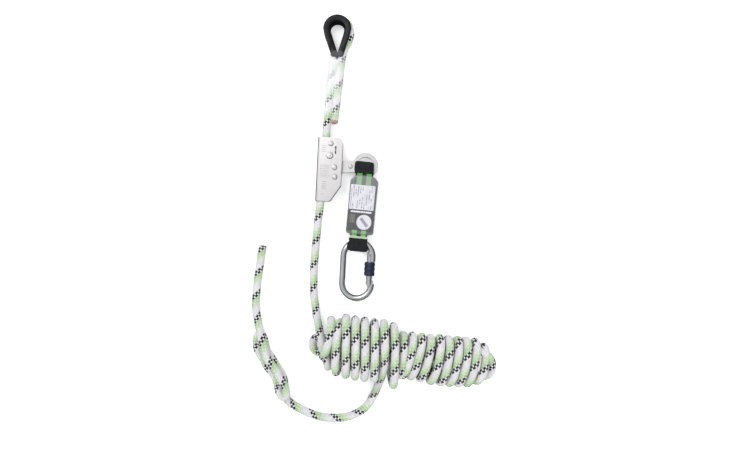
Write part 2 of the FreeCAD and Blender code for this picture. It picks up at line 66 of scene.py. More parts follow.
def colourOf(hexCode):
    # sRGB hex to the linear colour that nodes take
    parts = [int(hexCode.lstrip("#")[i:i + 2], 16) / 255 for i in (0, 2, 4)]
    return tuple(c / 12.92 if c <= 0.04045 else ((c + 0.055) / 1.055) ** 2.4 for c in parts) + (1.0,)


def addNode(tree, kind, *inputs, out=0, **settings):
    # inputs by place, or one dict by socket name: a socket is linked, None is skipped, a hex code is set as its colour,
    # anything else as it is. A kind in capitals is an operation of Math; MixColour takes share, under, over. Gives back one
    # output, or all of them where out is None.
    if kind.isupper():
        kind, settings["operation"] = "Math", kind
    if kind == "MixColour":
        kind, inputs, out, settings["data_type"] = "Mix", [dict(zip((0, 6, 7), inputs))], 2, "RGBA"
    made = tree.nodes.new(kind if kind.startswith(("Geometry", "Function", "NodeGroup")) else "ShaderNode" + kind)
    for key, value in settings.items():
        setattr(made, key, value)
    for key, value in (inputs[0] if inputs and isinstance(inputs[0], dict) else dict(enumerate(inputs))).items():
        if isinstance(value, bpy.types.NodeSocket):
            tree.links.new(value, made.inputs[key])
        elif value is not None:
            made.inputs[key].default_value = colourOf(value) if isinstance(value, str) else value
    return made.outputs if out is None else made.outputs[out]


def emptied(owner):
    # the node tree of a material or world without its nodes, bound to addNode
    owner.use_nodes = True
    owner.node_tree.nodes.clear()
    return partial(addNode, owner.node_tree)


def addLight(name):
    place, size, power = lightValues[name]
    data = bpy.data.lights.new(name, "AREA")
    data.shape = "DISK"
    data.size = size
    data.energy = power
    lamp = bpy.data.objects.new(name, data)
    lamp.location = place
    aim = Vector((cameraValues["place"][0], cameraValues["place"][1], 0)) - Vector(place)
    lamp.rotation_euler = aim.to_track_quat("-Z", "Y").to_euler()
    lamp.visible_glossy = name == "keySoftbox"      # metal mirrors the key and the tent alone
    bpy.context.scene.collection.objects.link(lamp)


def addCamera():
    data = bpy.data.cameras.new("layoutCamera")
    data.sensor_width = 36
    data.lens = cameraValues["lens"]
    camera = bpy.data.objects.new("layoutCamera", data)
    camera.location = cameraValues["place"]
    bpy.context.scene.collection.objects.link(camera)
    bpy.context.scene.camera = camera


def paperFloor():
    # matt white sweep of studio paper; it reads as bright white to the camera and as grey in the metal's reflections
    material = bpy.data.materials.new("whiteStudioPaper")
    add = emptied(material)
    paper = add("BsdfDiffuse", "#f7f7f7")
    glow = add("Emission", "#ffffff", 0.42)
    both = add("AddShader", paper, glow)
    rays = add("LightPath", out=None)
    clear = add("MAXIMUM", rays["Is Camera Ray"], rays["Is Transmission Ray"])
    plain = add("MixShader", clear, paper, both)
    shaded = add("BsdfDiffuse", "#5a5a5a")
    add("OutputMaterial", add("MixShader", rays["Is Glossy Ray"], plain, shaded), out=None)
    mesh = bpy.data.meshes.new("floor")
    mesh.from_pydata([(-4, -4, 0), (4, -4, 0), (4, 4, 0), (-4, 4, 0)], [], [(0, 1, 2, 3)])
    mesh.materials.append(material)
    floor = bpy.data.objects.new("floor", mesh)
    bpy.context.scene.collection.objects.link(floor)


def paleWorld():
    world = bpy.data.worlds.new("paleStudio")
    add = emptied(world)
    rays = add("LightPath", out=None)
    # reflections see a studio tent, bright above and to the left, darker low on the right
    bright = add("VectorMath", add("TexCoord", out="Generated"), (-0.42, 0.28, 0.86), out="Value", operation="DOT_PRODUCT")
    tent = add("MapRange", bright, -0.3, 0.85, 0.05, 0.78)
    level = add("Mix", {0: rays["Is Glossy Ray"], 2: lightValues["world"], 3: tent}, data_type="FLOAT")
    strength = add("MAXIMUM", level, rays["Is Camera Ray"])
    add("OutputWorld", add("Background", "#f6f8fb", strength), out=None)
    bpy.context.scene.world = world


bpy.context.scene.view_settings.view_transform = "Standard"
addCamera()
for lampName in ("keySoftbox", "fillSoftbox", "lowRim"):
    addLight(lampName)
paperFloor()
paleWorld()
print("stage: camera, lamps and floor stand")


# helpers for materials and meshes

def objectPlace(add, turned=0.0, moved=(0, 0, 0), sized=(1, 1, 1)):
    # object coordinates, centred and turned on a piece; distances stay in metres times sized
    return add("Mapping", add("TexCoord", out="Object"), moved, (0, 0, turned), sized, vector_type="TEXTURE")


def startMaterial(name, roughness, metallic=0.0, **more):
    # gives back addNode and joinTo bound to a new material; more: principled sockets that are the same all over
    material = bpy.data.materials.new(name)
    material.use_nodes = True
    joinTo(material, Roughness=roughness, Metallic=metallic, **more)
    return partial(addNode, material.node_tree), partial(joinTo, material)


def joinTo(material, **sockets):
    # values and links for the principled sockets, by name with _ for a space
    tree = material.node_tree
    for key, value in sockets.items():
        socket = tree.nodes["Principled BSDF"].inputs[key.replace("_", " ")]
        if isinstance(value, bpy.types.NodeSocket):
            tree.links.new(value, socket)
        else:
            socket.default_value = value
    return material


def meshPiece(name, points, faces, material, smooth=True, corners=None):
    # corners: one (u, v) for each face corner, in the order of the faces
    mesh = bpy.data.meshes.new(name)
    mesh.from_pydata([tuple(p) for p in points], [], faces)
    if corners is not None:
        layer = mesh.uv_layers.new(name="uvMap")
        layer.data.foreach_set("uv", [c for pair in corners for c in pair])
    mesh.polygons.foreach_set("use_smooth", [smooth] * len(mesh.polygons))
    mesh.materials.append(material)
    mesh.update()
    piece = bpy.data.objects.new(name, mesh)
    bpy.context.scene.collection.objects.link(piece)
    return piece


def tubeFaces(rings, around):
    # quads between rings of points that follow each other
    return [(i * around + k, i * around + n, (i + 1) * around + n, (i + 1) * around + k)
            for i in range(rings - 1) for k, n in ((k, (k + 1) % around) for k in range(around))]


def capFaces(rings, around):
    # one face over the first ring and one over the last
    return [tuple(reversed(range(around))), tuple(range((rings - 1) * around, rings * around))]


def softened(value, power):
    # the value's power with its sign kept, for rounded squares
    return math.copysign(abs(value) ** power, value)


def outward(piece):
    # faces made to point out of the closed shape
    work = bmesh.new()
    work.from_mesh(piece.data)
    bmesh.ops.remove_doubles(work, verts=work.verts, dist=1e-7)
    bmesh.ops.recalc_face_normals(work, faces=work.faces)
    work.to_mesh(piece.data)
    work.free()
    piece.data.update()
    return piece


def settle(piece, body, slot, *nodes):
    # every piece is handed to its body and hides the solids it stands for; its finish, slot, is not used
    if nodes:
        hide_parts(*nodes)
    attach(piece, body)
    return piece


def finished(piece):
    # applies what modifiers are left and returns the plain piece
    graph = bpy.context.evaluated_depsgraph_get()
    mesh = bpy.data.meshes.new_from_object(piece.evaluated_get(graph))
    piece.modifiers.clear()
    piece.data = mesh
    return piece


# the kernmantle rope

ropeValues = {
    "diameter": 0.014,
    "sides": 22,
    "ringStep": 0.0032,          # metres between rings of points
    "braidPitch": 0.0413,        # one turn of a sheath yarn along the rope
    "strands": 8,                # pairs of yarns each way round the rope
    "blackBelow": 1.5, "greenAbove": 4.5,    # which of the strands are tracers
    "reach": 0.35,               # how far from its middle a black strand still shows under a crossing
    "filaments": 4,              # fine lines on each yarn
    "white": "#e4e2e4",
    "green": "#98c478",
    "black": "#0d0e14",
}
hankValues = {
    "wrapPoints": 16,            # spline points for each turn
    "coreTurns": 6,
    "corePitch": 0.0146,
    # (x, upper y, lower y, thickness) of the bundle in millimetres, with its underside at 0
    "stations": ((-60, -328, -346, 16), (-50, -296, -348, 44), (-34, -276, -362, 60), (-2, -268, -378, 67),
                 (30, -273, -384, 67), (62, -277, -389, 65), (86, -285, -396, 59), (95, -298, -386, 51),
                 (145, -303, -389, 51), (205, -309, -394, 49), (234, -315, -391, 44), (257, -346, -368, 20)),
    # upper end (x, y) and lower end (x, y) of each wrap as it shows from above, in millimetres
    "leftWraps": (((-26, -271), (-41, -348)), ((-10, -275), (-16.5, -373)), ((0, -267), (-1, -377)),
                  ((15.5, -270), (14.5, -380)), ((31.5, -272), (30.5, -382)), ((48, -275), (46, -385))),
    "rightWraps": (((236, -318), (222, -391)), ((221.5, -310), (206, -394)), ((206, -308), (190.5, -394.5)),
                   ((191, -306.5), (175.5, -393.5)), ((175.5, -305), (160, -392.5)), ((160.5, -303.5), (143.5, -390)),
                   ((145, -303), (126, -385.5)), ((129.5, -301), (109.5, -382)), ((114, -299), (95.5, -380))),
    "lobe": ((81, -282), (79.5, -395.5)),
    "tailWrap": ((64.5, -276), (67, -372)),
}


def hankThickness(x):
    rows = hankValues["stations"]
    for low, high in zip(rows, rows[1:]):
        if x <= high[0]:
            t = max(0.0, (x - low[0]) / (high[0] - low[0]))
            return low[3] + t * (high[3] - low[3])
    return rows[-1][3]


def wrapPoints(top, low, nextTop, bow=0.0, backOnly=False, frontOnly=False, sink=0.0):
    # one turn of the rope's centreline round the bundle, over the front from top to low and up behind to nextTop
    count = hankValues["wrapPoints"]
    points = []
    for k in range(count):
        angle = math.tau * k / count
        front = angle < math.pi
        if (front and backOnly) or (not front and frontOnly):
            continue
        upper = top if front else nextTop
        share = (1 - math.cos(angle)) / 2
        x = low[0] + (upper[0] - low[0]) * (1 - share ** 1.25) + bow * math.sin(angle) * (1 if front else 0)
        upY, lowY = upper[1] - 7, low[1] + 7
        y = (upY + lowY) / 2 + (upY - lowY) / 2 * 1.02 * softened(math.cos(angle), 0.85)
        depth = hankThickness(x)
        half = depth / 2 - 7 - sink
        z = depth / 2 + half * 1.02 * softened(math.sin(angle), 0.8)
        points.append((x, y, max(z, 7.2)))
    return points


def ropeRoute():
    # millimetres: down from the grab, wound into the hank, out as the tail, the stopper knot and the bare end
    route = [(-34.6, 58, 11), (-36.9, 25, 11), (-40.8, -18.5, 11), (-45.4, -72, 11), (-50.6, -108, 10.5), (-54, -146, 9.5),
             (-58, -190, 8), (-59, -232, 7.2), (-54, -270, 8), (-47, -296, 24), (-40, -318, 40), (-34.5, -340, 42),
             (-31, -355, 34)]
    left = hankValues["leftWraps"]
    firstLow = (-32, -366)
    route += wrapPoints(firstLow, firstLow, left[0][0], backOnly=True)
    for number, (top, low) in enumerate(left):
        if number + 1 < len(left):
            route += wrapPoints(top, low, left[number + 1][0], bow=(4.0, -3.5, 1.0, 1.5, 1.5, 1.5)[number])
        else:
            route += wrapPoints(top, low, top, bow=1.5, frontOnly=True)
    # through the heart of the bundle to the far end, back to the near end and round in a short loop
    route += [(50, -374, 14), (60, -362, 15), (80, -352, 24), (110, -350, 30), (150, -352, 32), (190, -340, 32),
              (222, -329, 31), (243, -337, 29), (252.5, -356, 26), (246.5, -375, 22), (228, -380, 18), (205, -358, 17),
              (160, -332, 19), (110, -328, 21), (60, -326, 24), (10, -322, 26), (-20, -316, 24), (-42, -311, 17),
              (-55, -312, 11), (-60, -318, 9), (-60, -331, 9), (-53, -338, 10), (-40, -336, 15), (-26, -338, 24)]
    turns, pitch = hankValues["coreTurns"], hankValues["corePitch"] / mm
    for turn in range(turns):
        start = -14 + pitch * turn
        route += wrapPoints((start, -290), (start, -362), (start + pitch, -290), sink=15.5)
    route += [(80, -300, 30), (92, -322, 34), (112, -334, 34), (150, -340, 18), (190, -344, 12), (222, -344, 9),
              (233, -336, 11)]
    right = hankValues["rightWraps"]
    for number, (top, low) in enumerate(right):
        nextTop = right[number + 1][0] if number + 1 < len(right) else (98, -298)
        bow = (6.0, 3.5, 3.5, 3.5, 3.5, 3.0, 1.5, 1.5, 2.5)[number]
        route += wrapPoints(top, low, nextTop, bow=bow)
    route += wrapPoints((98, -298), (91, -379), hankValues["lobe"][0], bow=2.0)
    route += wrapPoints(*hankValues["lobe"], hankValues["tailWrap"][0], bow=2.0)
    route += wrapPoints(*hankValues["tailWrap"], (0, 0), frontOnly=True)[:5]
    # the tail comes off the last wrap and lies on the floor
    route += [(63.5, -360, 46), (58.5, -379, 29), (54, -397, 13), (48.5, -412, 7), (37, -432, 7), (16, -448.5, 7),
              (-18, -455.5, 7), (-54, -451, 7), (-84, -437, 7)]
    route += list(knotLine)
    route += [(-156, -284, 7), (-160, -264, 7), (-159.5, -240, 7), (-156, -207, 7), (-150.5, -172, 7), (-147.6, -151.5, 7)]
    return route


knotLine = (
    # the stopper knot in millimetres: up its right side, back down its left, round underneath, up over both and out
    (-103.6, -425.7, 7), (-107.3, -414.8, 7), (-109.0, -401.7, 7), (-110.1, -387.4, 7.2), (-115.1, -375.4, 7.3),
    (-123.1, -363.3, 7.5), (-130.3, -351.3, 7.6), (-140.5, -336.0, 7.8), (-143.8, -322.8, 8), (-146.0, -311.9, 8),
    (-152.5, -305.4, 8), (-158.6, -310.8, 8), (-158.2, -325.1, 7.7), (-156.5, -336.0, 7.5), (-146.1, -351.3, 7.4),
    (-140.6, -363.3, 7.4), (-130.3, -375.3, 7.6), (-123.0, -387.2, 8), (-120.7, -398.9, 9), (-117.2, -409.6, 13),
    (-110.5, -415.1, 18), (-104.1, -410.1, 21.5), (-105.0, -399.3, 21.5), (-110.2, -386.9, 20), (-119.9, -371.9, 19.6),
    (-130.7, -356.9, 19.6), (-140.4, -341.8, 19.6), (-143.7, -326.8, 19.2), (-147.1, -314.4, 17), (-151.2, -302.4, 12),
    (-154.6, -292.3, 8.2),
)


def splineLine(name, points, step):
    # the smooth line of a NURBS curve through the air of its control points, as even points a step apart
    curve = bpy.data.curves.new(name, "CURVE")
    curve.dimensions = "3D"
    curve.resolution_u = 12
    spline = curve.splines.new("NURBS")
    spline.points.add(len(points) - 1)
    for slotPoint, place in zip(spline.points, points):
        slotPoint.co = (place[0] * mm, place[1] * mm, place[2] * mm, 1)
    spline.order_u = 3
    spline.use_endpoint_u = True
    holder = bpy.data.objects.new(name, curve)
    bpy.context.scene.collection.objects.link(holder)
    graph = bpy.context.evaluated_depsgraph_get()
    mesh = bpy.data.meshes.new_from_object(holder.evaluated_get(graph))
    rough = [v.co.copy() for v in mesh.vertices]
    bpy.data.objects.remove(holder)
    bpy.data.meshes.remove(mesh)
    even, left = [rough[0]], step
    for a, b in zip(rough, rough[1:]):
        length = (b - a).length
        while length > 0 and left <= length:
            even.append(a.lerp(b, left / length))
            left += step
        left -= length
    if (even[-1] - rough[-1]).length > step * 0.3:
        even.append(rough[-1])
    return even


def lineLength(line):
    return sum((b - a).length for a, b in zip(line, line[1:]))


def braidTube(name, line, radius, material, sides, startAt=0.0, capEnd=True, shape=None):
    # a tube along a line; u goes once round, v counts braid pitches; shape(share, angle) scales the radius
    rings, points = len(line), []
    tangent = (line[1] - line[0]).normalized()
    normal = tangent.orthogonal().normalized()
    side = tangent.cross(Vector((0, 0, 1)))
    if side.length > 0.1:
        normal = side.normalized()
    along, vs = startAt, []
    for i, place in enumerate(line):
        ahead = line[min(i + 1, rings - 1)] - line[max(i - 1, 0)]
        now = ahead.normalized()
        normal = (normal - now * normal.dot(now)).normalized()
        other = now.cross(normal)
        if i:
            along += (place - line[i - 1]).length
        vs.append(along / ropeValues["braidPitch"])
        for k in range(sides):
            angle = math.tau * k / sides
            r = radius * (shape(i / (rings - 1), angle) if shape else 1.0)
            points.append(place + normal * math.cos(angle) * r + other * math.sin(angle) * r)
    corners = [(u / sides, v) for low, high in zip(vs, vs[1:]) for k in range(sides)
               for u, v in ((k, low), (k + 1, low), (k + 1, high), (k, high))]
    corners += [(0.5, vs[0])] * sides + [(0.5, vs[-1])] * sides * capEnd
    faces = tubeFaces(rings, sides) + capFaces(rings, sides)[:1 + capEnd]
    return meshPiece(name, points, faces, material, corners=corners)


def braidedSheath():
    # kernmantle sheath: polyester yarns braided over and under, soft sheen, two black and three green tracer strands
    add, join = startMaterial("braidedPolyesterSheath", 0.62, Sheen_Weight=0.25, Sheen_Roughness=0.5, Specular_IOR_Level=0.35)
    u, v = add("SeparateXYZ", add("UVMap", uv_map="uvMap"), out=None)[:2]
    count = ropeValues["strands"]
    a = add("MULTIPLY", add("ADD", v, u), count)
    b = add("MULTIPLY", add("SUBTRACT", v, u), count)
    yarnA, yarnB = add("FLOOR", a), add("FLOOR", b)
    partA, partB = add("FRACT", a), add("FRACT", b)
    over = add("FLOORED_MODULO", add("ADD", yarnA, yarnB), 2.0)          # 1 where the second set is on top
    indexB = add("FLOORED_MODULO", yarnB, float(count))
    # a strand on top reaches a little past its crossing at both ends
    fromMiddle = add("ABSOLUTE", add("SUBTRACT", partA, 0.5))
    reach = add("MAXIMUM", over, add("GREATER_THAN", fromMiddle, ropeValues["reach"]))
    isBlack = add("MULTIPLY", add("LESS_THAN", indexB, ropeValues["blackBelow"]), reach)
    tracer = add("GREATER_THAN", indexB, ropeValues["greenAbove"])
    isGreen = add("MULTIPLY", tracer, over)
    # the green tracer also shows thinly between the white yarns that cross it
    greenBand = add("MULTIPLY", tracer, 0.45)
    pillow = add("POWER", add("MULTIPLY", add("SINE", add("MULTIPLY", partA, math.pi)),
                              add("SINE", add("MULTIPLY", partB, math.pi))), 0.45)
    # fine filaments along the yarn on top, about 0.4 mm apart
    alongTop = add("Mix", {0: over, 2: a, 3: b}, data_type="FLOAT")
    filament = add("SINE", add("MULTIPLY", alongTop, math.tau * ropeValues["filaments"]))
    shade = add("TexWhiteNoise", {"Vector": add("CombineXYZ", yarnA, yarnB)}, out="Value", noise_dimensions="2D")
    fuzz = add("TexNoise", {"Vector": objectPlace(add), "Scale": 900.0, "Detail": 4.0})
    white = add("MixColour", add("MULTIPLY", shade, 0.6), ropeValues["white"], "#d3d0d6")
    # the green tracer runs from pale to full beside the black
    green = add("MixColour", add("MapRange", add("ADD", indexB, shade), 5.2, 7.6), "#cbdfb8", ropeValues["green"])
    colour = add("MixColour", greenBand, white, green)
    colour = add("MixColour", isGreen, colour, green)
    colour = add("MixColour", isBlack, colour, ropeValues["black"])
    # painted shade: each yarn is darkened towards its edges, where it dips beside its neighbours, and mottled a little
    # by the fuzz
    dark = add("MapRange", pillow, 0.0, 0.5, 0.74, 1.0)
    fuzzAndCreaseShade = add("MULTIPLY", dark, add("MapRange", fuzz, 0.2, 0.8, 0.92, 1.04))
    colour = add("MixColour", 1.0, colour, add("CombineColor", fuzzAndCreaseShade, fuzzAndCreaseShade, fuzzAndCreaseShade), blend_type="MULTIPLY")
    height = add("ADD", pillow, add("MULTIPLY", filament, 0.06))
    return join(Base_Color=colour, Normal=add("Bump", {"Height": height, "Distance": 0.0007, "Strength": 0.8}))


def meltedNylon():
    # sheath and core melted together with a hot knife: hard, glossy, brown
    add, join = startMaterial("meltedPolyamideEnd", 0.35)
    clouds = add("TexNoise", {"Vector": objectPlace(add), "Scale": 420.0, "Detail": 3.0})
    return join(Base_Color=add("MixColour", clouds, "#8c6f5a", "#d0b39b"),
                Normal=add("Bump", {"Height": clouds, "Distance": 0.0006}))


ropeSheath = braidedSheath()
meltedEnd = meltedNylon()
ropeLine = splineLine("ropeRoute", ropeRoute(), ropeValues["ringStep"])
rope = braidTube("kernmantleRope", ropeLine, ropeValues["diameter"] / 2, ropeSheath, ropeValues["sides"])
rope.data.materials.append(meltedEnd)
rope.data.polygons[-1].material_index = 1
settle(rope, "line", "kernmantle", "rope_run", "rope_hank", "rope_tail", "stopper_knot", "rope_end")


# the anchor eye: thimble, spliced legs and shrink sleeve

eyeValues = {
    # the rope from its melted end up the right leg, round the thimble and down to the grab, in millimetres
    "line": ((-22, 66, 11), (-18.5, 96, 11), (-13.6, 136, 11), (-9.6, 172, 11), (-7.3, 183, 11), (-2.4, 195, 11),
             (4.6, 209, 11), (7.9, 223, 11), (5.2, 235, 11), (-3, 242, 11), (-13, 245, 11), (-22, 244, 11), (-31, 239.5, 11),
             (-36, 229, 11), (-35.2, 216, 11), (-29.4, 202, 11), (-24.4, 187, 11), (-22.4, 171, 11), (-26.8, 134, 11),
             (-30.7, 96, 11), (-34.6, 58, 11)),
    "squeeze": 0.36,             # how far the thimble flattens the rope
    "ringStep": 0.002, "sides": 26,
    "meltedLength": 5.0, "meltedRadius": 0.007,
    "meltedProfile": (1.02, 1.03, 1.0, 0.97, 0.88, 0.7, 0.4),
}
thimbleValues = {
    "centre": (-16, 224), "holeRadius": 11.8, "holeTip": 39.5, "flangeRadius": 24.5, "flangeTip": 76.0, "foot": 48.0,
    "height": 22.0, "footHeight": 16.4, "wall": 2.2, "flange": 3.0, "facets": 120,
    "lowFrom": 29, "lowOver": 8,  # the foot's drop to its own height starts this far down and takes this long
}
shrinkValues = {
    "top": (-15.6, 186.5), "end": (-27.6, 75.0), "legGap": (6.9, 6.3), "radius": 7.6, "rings": 48, "sides": 56,
    "overFoot": 0.14,            # share of its length drawn over the thimble's foot
    "footHeight": 9.4,
    "middle": 11, "wall": 0.0006,
}


def mouldedNylon():
    # injection-moulded black polyamide: low gloss with a fine spark-eroded grain, about 0.6 mm so that it shows
    add, join = startMaterial("mouldedBlackPolyamide", 0.5, Specular_IOR_Level=0.25)
    place = objectPlace(add)
    grain = add("TexNoise", {"Vector": place, "Scale": 1600.0, "Detail": 2.0})
    scuffs = add("TexNoise", {"Vector": place, "Scale": 120.0, "Detail": 5.0})
    return join(Base_Color=add("MixColour", add("MapRange", scuffs, 0.45, 0.75), "#0c0c0f", "#1a1a1e"),
                Roughness=add("MapRange", scuffs, 0.3, 0.7, 0.4, 0.55),
                Normal=add("Bump", {"Height": grain, "Distance": 0.00012}))


def heatShrink():
    # clear polyolefin shrink tube, milky where it is drawn tight over the sheath
    add, join = startMaterial("clearHeatShrink", 0.3, Specular_IOR_Level=0.5)
    place = objectPlace(add, sized=(1, 3, 1))
    haze = add("TexNoise", {"Vector": place, "Scale": 90.0, "Detail": 4.0})
    along = add("SeparateXYZ", objectPlace(add), out=1)
    milky = add("MULTIPLY", add("MapRange", along, 0.085, 0.15, 0.1, 0.36), add("MapRange", along, 0.170, 0.174, 1.0, 0.1))
    return join(Base_Color=add("MixColour", haze, "#ecebf0", "#fbfafd"), Alpha=milky,
                Normal=add("Bump", {"Height": haze, "Distance": 0.0006, "Strength": 0.4}))


def teardropRadius(fromFoot, radius, tip):
    # polar radius of a disc drawn out to a point; fromFoot is the angle from straight down
    normalAt = math.pi / 2 - math.asin(radius / tip)
    return radius / math.cos(normalAt - fromFoot) if fromFoot < normalAt else radius


def buildThimble(material):
    v = thimbleValues
    height, flange = v["height"], v["flange"]
    # (share of the flange's reach or None at the channel's floor, height)
    section = ((0.0, height / 2 - 2), (0.0, height / 2 + 2), (0.03, height / 2 + 5), (0.1, height / 2 + 8),
               (0.17, height - 0.9), (0.25, height), (0.8, height), (0.93, height - 0.3),
               (1.0, height - 1.1), (0.99, height - 2.2), (0.92, height - flange + 0.1), (None, height - flange - 0.3),
               (None, height - flange - 2),
               (None, flange + 2), (None, flange + 0.3), (0.92, flange - 0.1), (0.99, 2.2), (1.0, 1.1), (0.93, 0.3),
               (0.8, 0.0), (0.25, 0.0), (0.17, 0.9), (0.1, height / 2 - 8), (0.03, height / 2 - 5))
    points, faces, count = [], [], len(section)
    for k in range(v["facets"]):
        turn = math.tau * k / v["facets"]
        turn += 0.55 * math.sin(turn + math.pi) * (1 if math.cos(turn) > 0 else math.cos(turn) ** 2)  # closer steps at the foot
        fromFoot = abs((turn + math.pi) % math.tau - math.pi)
        low = teardropRadius(fromFoot, v["holeRadius"], v["holeTip"])
        high = teardropRadius(fromFoot, v["flangeRadius"], v["flangeTip"])
        if fromFoot < math.pi / 2 - 0.01:
            high = min(high, v["foot"] / math.cos(fromFoot))
        wall = min(v["wall"] / max(high - low, 0.1), 0.75)
        for share, z in section:
            r = low + (high - low) * (wall if share is None else share)
            flatten = max(0.0, min(1.0, (r * math.cos(fromFoot) - v["lowFrom"]) / v["lowOver"]))
            z = height / 2 + 0.1 + (z - height / 2) * (1 - (1 - v["footHeight"] / height) * flatten)
            points.append(((v["centre"][0] + math.sin(turn) * r) * mm, (v["centre"][1] - math.cos(turn) * r) * mm, z * mm))
        n = (k + 1) % v["facets"]
        faces += [(k * count + j, n * count + j, n * count + (j + 1) % count,
                   k * count + (j + 1) % count) for j in range(count)]
    return outward(meshPiece("thimbleRing", points, faces, material))


def eyeSqueeze(share, angle):
    # the rope is pressed flat in the thimble's groove and round everywhere else
    held = max(0.0, min(1.0, (share - 0.37) / 0.08, (0.735 - share) / 0.05))
    held = held * held * (3 - 2 * held)
    return math.hypot(math.cos(angle) * (1 - eyeValues["squeeze"] * held), math.sin(angle) * (1 + 0.07 * held))


def buildShrink(material):
    v = shrinkValues
    points = []
    top, end = Vector(v["top"]), Vector(v["end"])
    along = (end - top).normalized()
    across = Vector((-along.y, along.x))
    for i in range(v["rings"] + 1):
        share = i / v["rings"]
        centre = top.lerp(end, share)
        gap = v["legGap"][0] + (v["legGap"][1] - v["legGap"][0]) * share
        foot = min(1.0, 2 * max(0.0, 1 - share / v["overFoot"]))
        foot = foot * foot * (3 - 2 * foot)
        tall = v["radius"] + (v["footHeight"] - v["radius"]) * foot
        wide = 1 + 0.012 * math.sin(share * 60) - 0.03 * foot
        for k in range(v["sides"]):
            angle = math.tau * k / v["sides"]
            reach = gap * math.tanh(2.6 * math.cos(angle)) + v["radius"] * math.cos(angle) * wide
            z = v["middle"] + tall * math.sin(angle) * (1 - 0.1 * (1 - foot) * math.exp(-(math.cos(angle) * 3) ** 2))
            place = centre + across * reach
            points.append((place.x * mm, place.y * mm, z * mm))
    piece = meshPiece("shrinkSleeve", points, tubeFaces(v["rings"] + 1, v["sides"]), material)
    wall = piece.modifiers.new("wall", "SOLIDIFY")
    wall.thickness = v["wall"]
    wall.offset = 1.0
    piece.visible_shadow = False        # so clear that it hardly dims the rope inside
    return finished(piece)


blackNylon = mouldedNylon()
clearShrink = heatShrink()
settle(buildThimble(blackNylon), "line", "black_nylon", "thimble")
eyeLine = splineLine("eyeRoute", eyeValues["line"], eyeValues["ringStep"])
eyeRope = braidTube("spliceAndEye", eyeLine, ropeValues["diameter"] / 2, ropeSheath, eyeValues["sides"],
                    startAt=-lineLength(eyeLine),
                    capEnd=False, shape=eyeSqueeze)
settle(eyeRope, "line", "kernmantle", "eye_rope", "eye_splice")
settle(buildShrink(clearShrink), "line", "clear_shrink", "splice_sleeve")


def buildMeltedEnd(material):
    # a lumpy button of melted sheath on the short leg
    start = Vector(eyeValues["line"][0]) * mm
    down = (start - Vector(eyeValues["line"][1]) * mm).normalized()
    line = [start - down * 0.001 + down * mm * step * (eyeValues["meltedLength"] + 1) / 6 for step in range(7)]
    profile = eyeValues["meltedProfile"]

    def lump(share, angle):
        return profile[min(round(share * 6), 6)] * (1 + 0.035 * math.sin(3 * angle + 5 * share) + 0.02 * math.sin(7 * angle))
    return braidTube("meltedLegEnd", line, eyeValues["meltedRadius"], material, eyeValues["sides"], shape=lump)


settle(buildMeltedEnd(meltedEnd), "line", "melted_polyamide", "melted_end")
print("stage: anchor eye and splice made")


# metal parts

metalValues = {
    "grainPitch": 0.0009,        # brushed lines, drawn about three times as coarse as real ones
    "bodyBase": (-0.0519, -0.018, 0), "bodyTilt": math.radians(-2.8),
    "markShare": 0.42, "markBreaks": 1400.0,     # how much of a row's pitch is etched; breaks across it, per metre
    "foldShadeFrom": 0.0038, "foldShadeTo": 0.0030,        # the painted shade strip along the outside of the fold ends here, metres from the spine
    # etched marks on the plate: across from/to, along from/to, pitch of the rows, in millimetres
    "marks": ((7, 15, 28, 41, 3.3), (5.6, 22, -14.4, 8, 2.9), (10, 17.5, -36, -19.5, 3.8), (9, 16, -44.5, -42.8, 2.6)),
}


def band(add, value, low, high, soft=0.0002):
    # 1 between two values, with a short soft edge
    return add("MULTIPLY", add("MapRange", value, low - soft, low + soft),
               add("MapRange", value, high - soft, high + soft, 1.0, 0.0))


def patch(add, x, y, box):
    # 1 inside a box of (x from, x to, y from, y to)
    return add("MULTIPLY", band(add, x, box[0], box[1]), band(add, y, box[2], box[3]))


def satinPlate():
    # 1.4301 stainless sheet, folded and tumbled: even satin with faint brushed lines along it and dull etched marks
    add, join = startMaterial("satinStainlessSheet", 0.4, 1.0)
    place = objectPlace(add, metalValues["bodyTilt"], metalValues["bodyBase"])
    x, y = add("SeparateXYZ", place, out=None)[:2]
    stretched = add("VectorMath", place, (1.0, 0.04, 1.0), operation="MULTIPLY")
    lines = add("TexNoise", {"Vector": stretched, "Scale": 1 / metalValues["grainPitch"], "Detail": 2.0})
    clouds = add("TexNoise", {"Vector": place, "Scale": 45.0, "Detail": 3.0})
    up = add("SeparateXYZ", add("NewGeometry", out="Normal"), out=2)
    marks = None
    for x0, x1, y0, y1, pitch in metalValues["marks"]:
        rows = add("LESS_THAN", add("FRACT", add("DIVIDE", y, pitch * mm)), metalValues["markShare"])
        strokes = add("CombineXYZ", add("MULTIPLY", x, metalValues["markBreaks"]), add("FLOOR", add("DIVIDE", y, pitch * mm)),
                      None)
        pieces = add("GREATER_THAN", add("TexNoise", {"Vector": strokes, "Scale": 1.0, "Detail": 1.0}), 0.5)
        inside = patch(add, x, y, (x0 * mm, x1 * mm, y0 * mm, y1 * mm))
        one = add("MULTIPLY", inside, add("MULTIPLY", rows, pieces))
        marks = one if marks is None else add("MAXIMUM", marks, one)
    marks = add("MULTIPLY", marks, add("GREATER_THAN", up, 0.9))
    steel = add("MixColour", clouds, "#c6c3c3", "#d2cfcf")
    # painted shade: a darker strip along the outside of the fold
    steel = add("MixColour", add("MapRange", x, metalValues["foldShadeTo"], metalValues["foldShadeFrom"], 0.8, 0.0), steel, "#8f8b8c")
    # painted shade: side faces, where the normal leans away from up, are darker
    steel = add("MixColour", add("MapRange", up, 0.3, 0.8, 0.9, 0.0), steel, "#5e5a5c")
    return join(Base_Color=add("MixColour", add("MULTIPLY", marks, 0.75), steel, "#858082"),
                Roughness=add("ADD", add("MapRange", lines, 0.3, 0.7, 0.36, 0.46), add("MULTIPLY", marks, 0.2)),
                Normal=add("Bump", {"Height": lines, "Distance": 0.00002}))


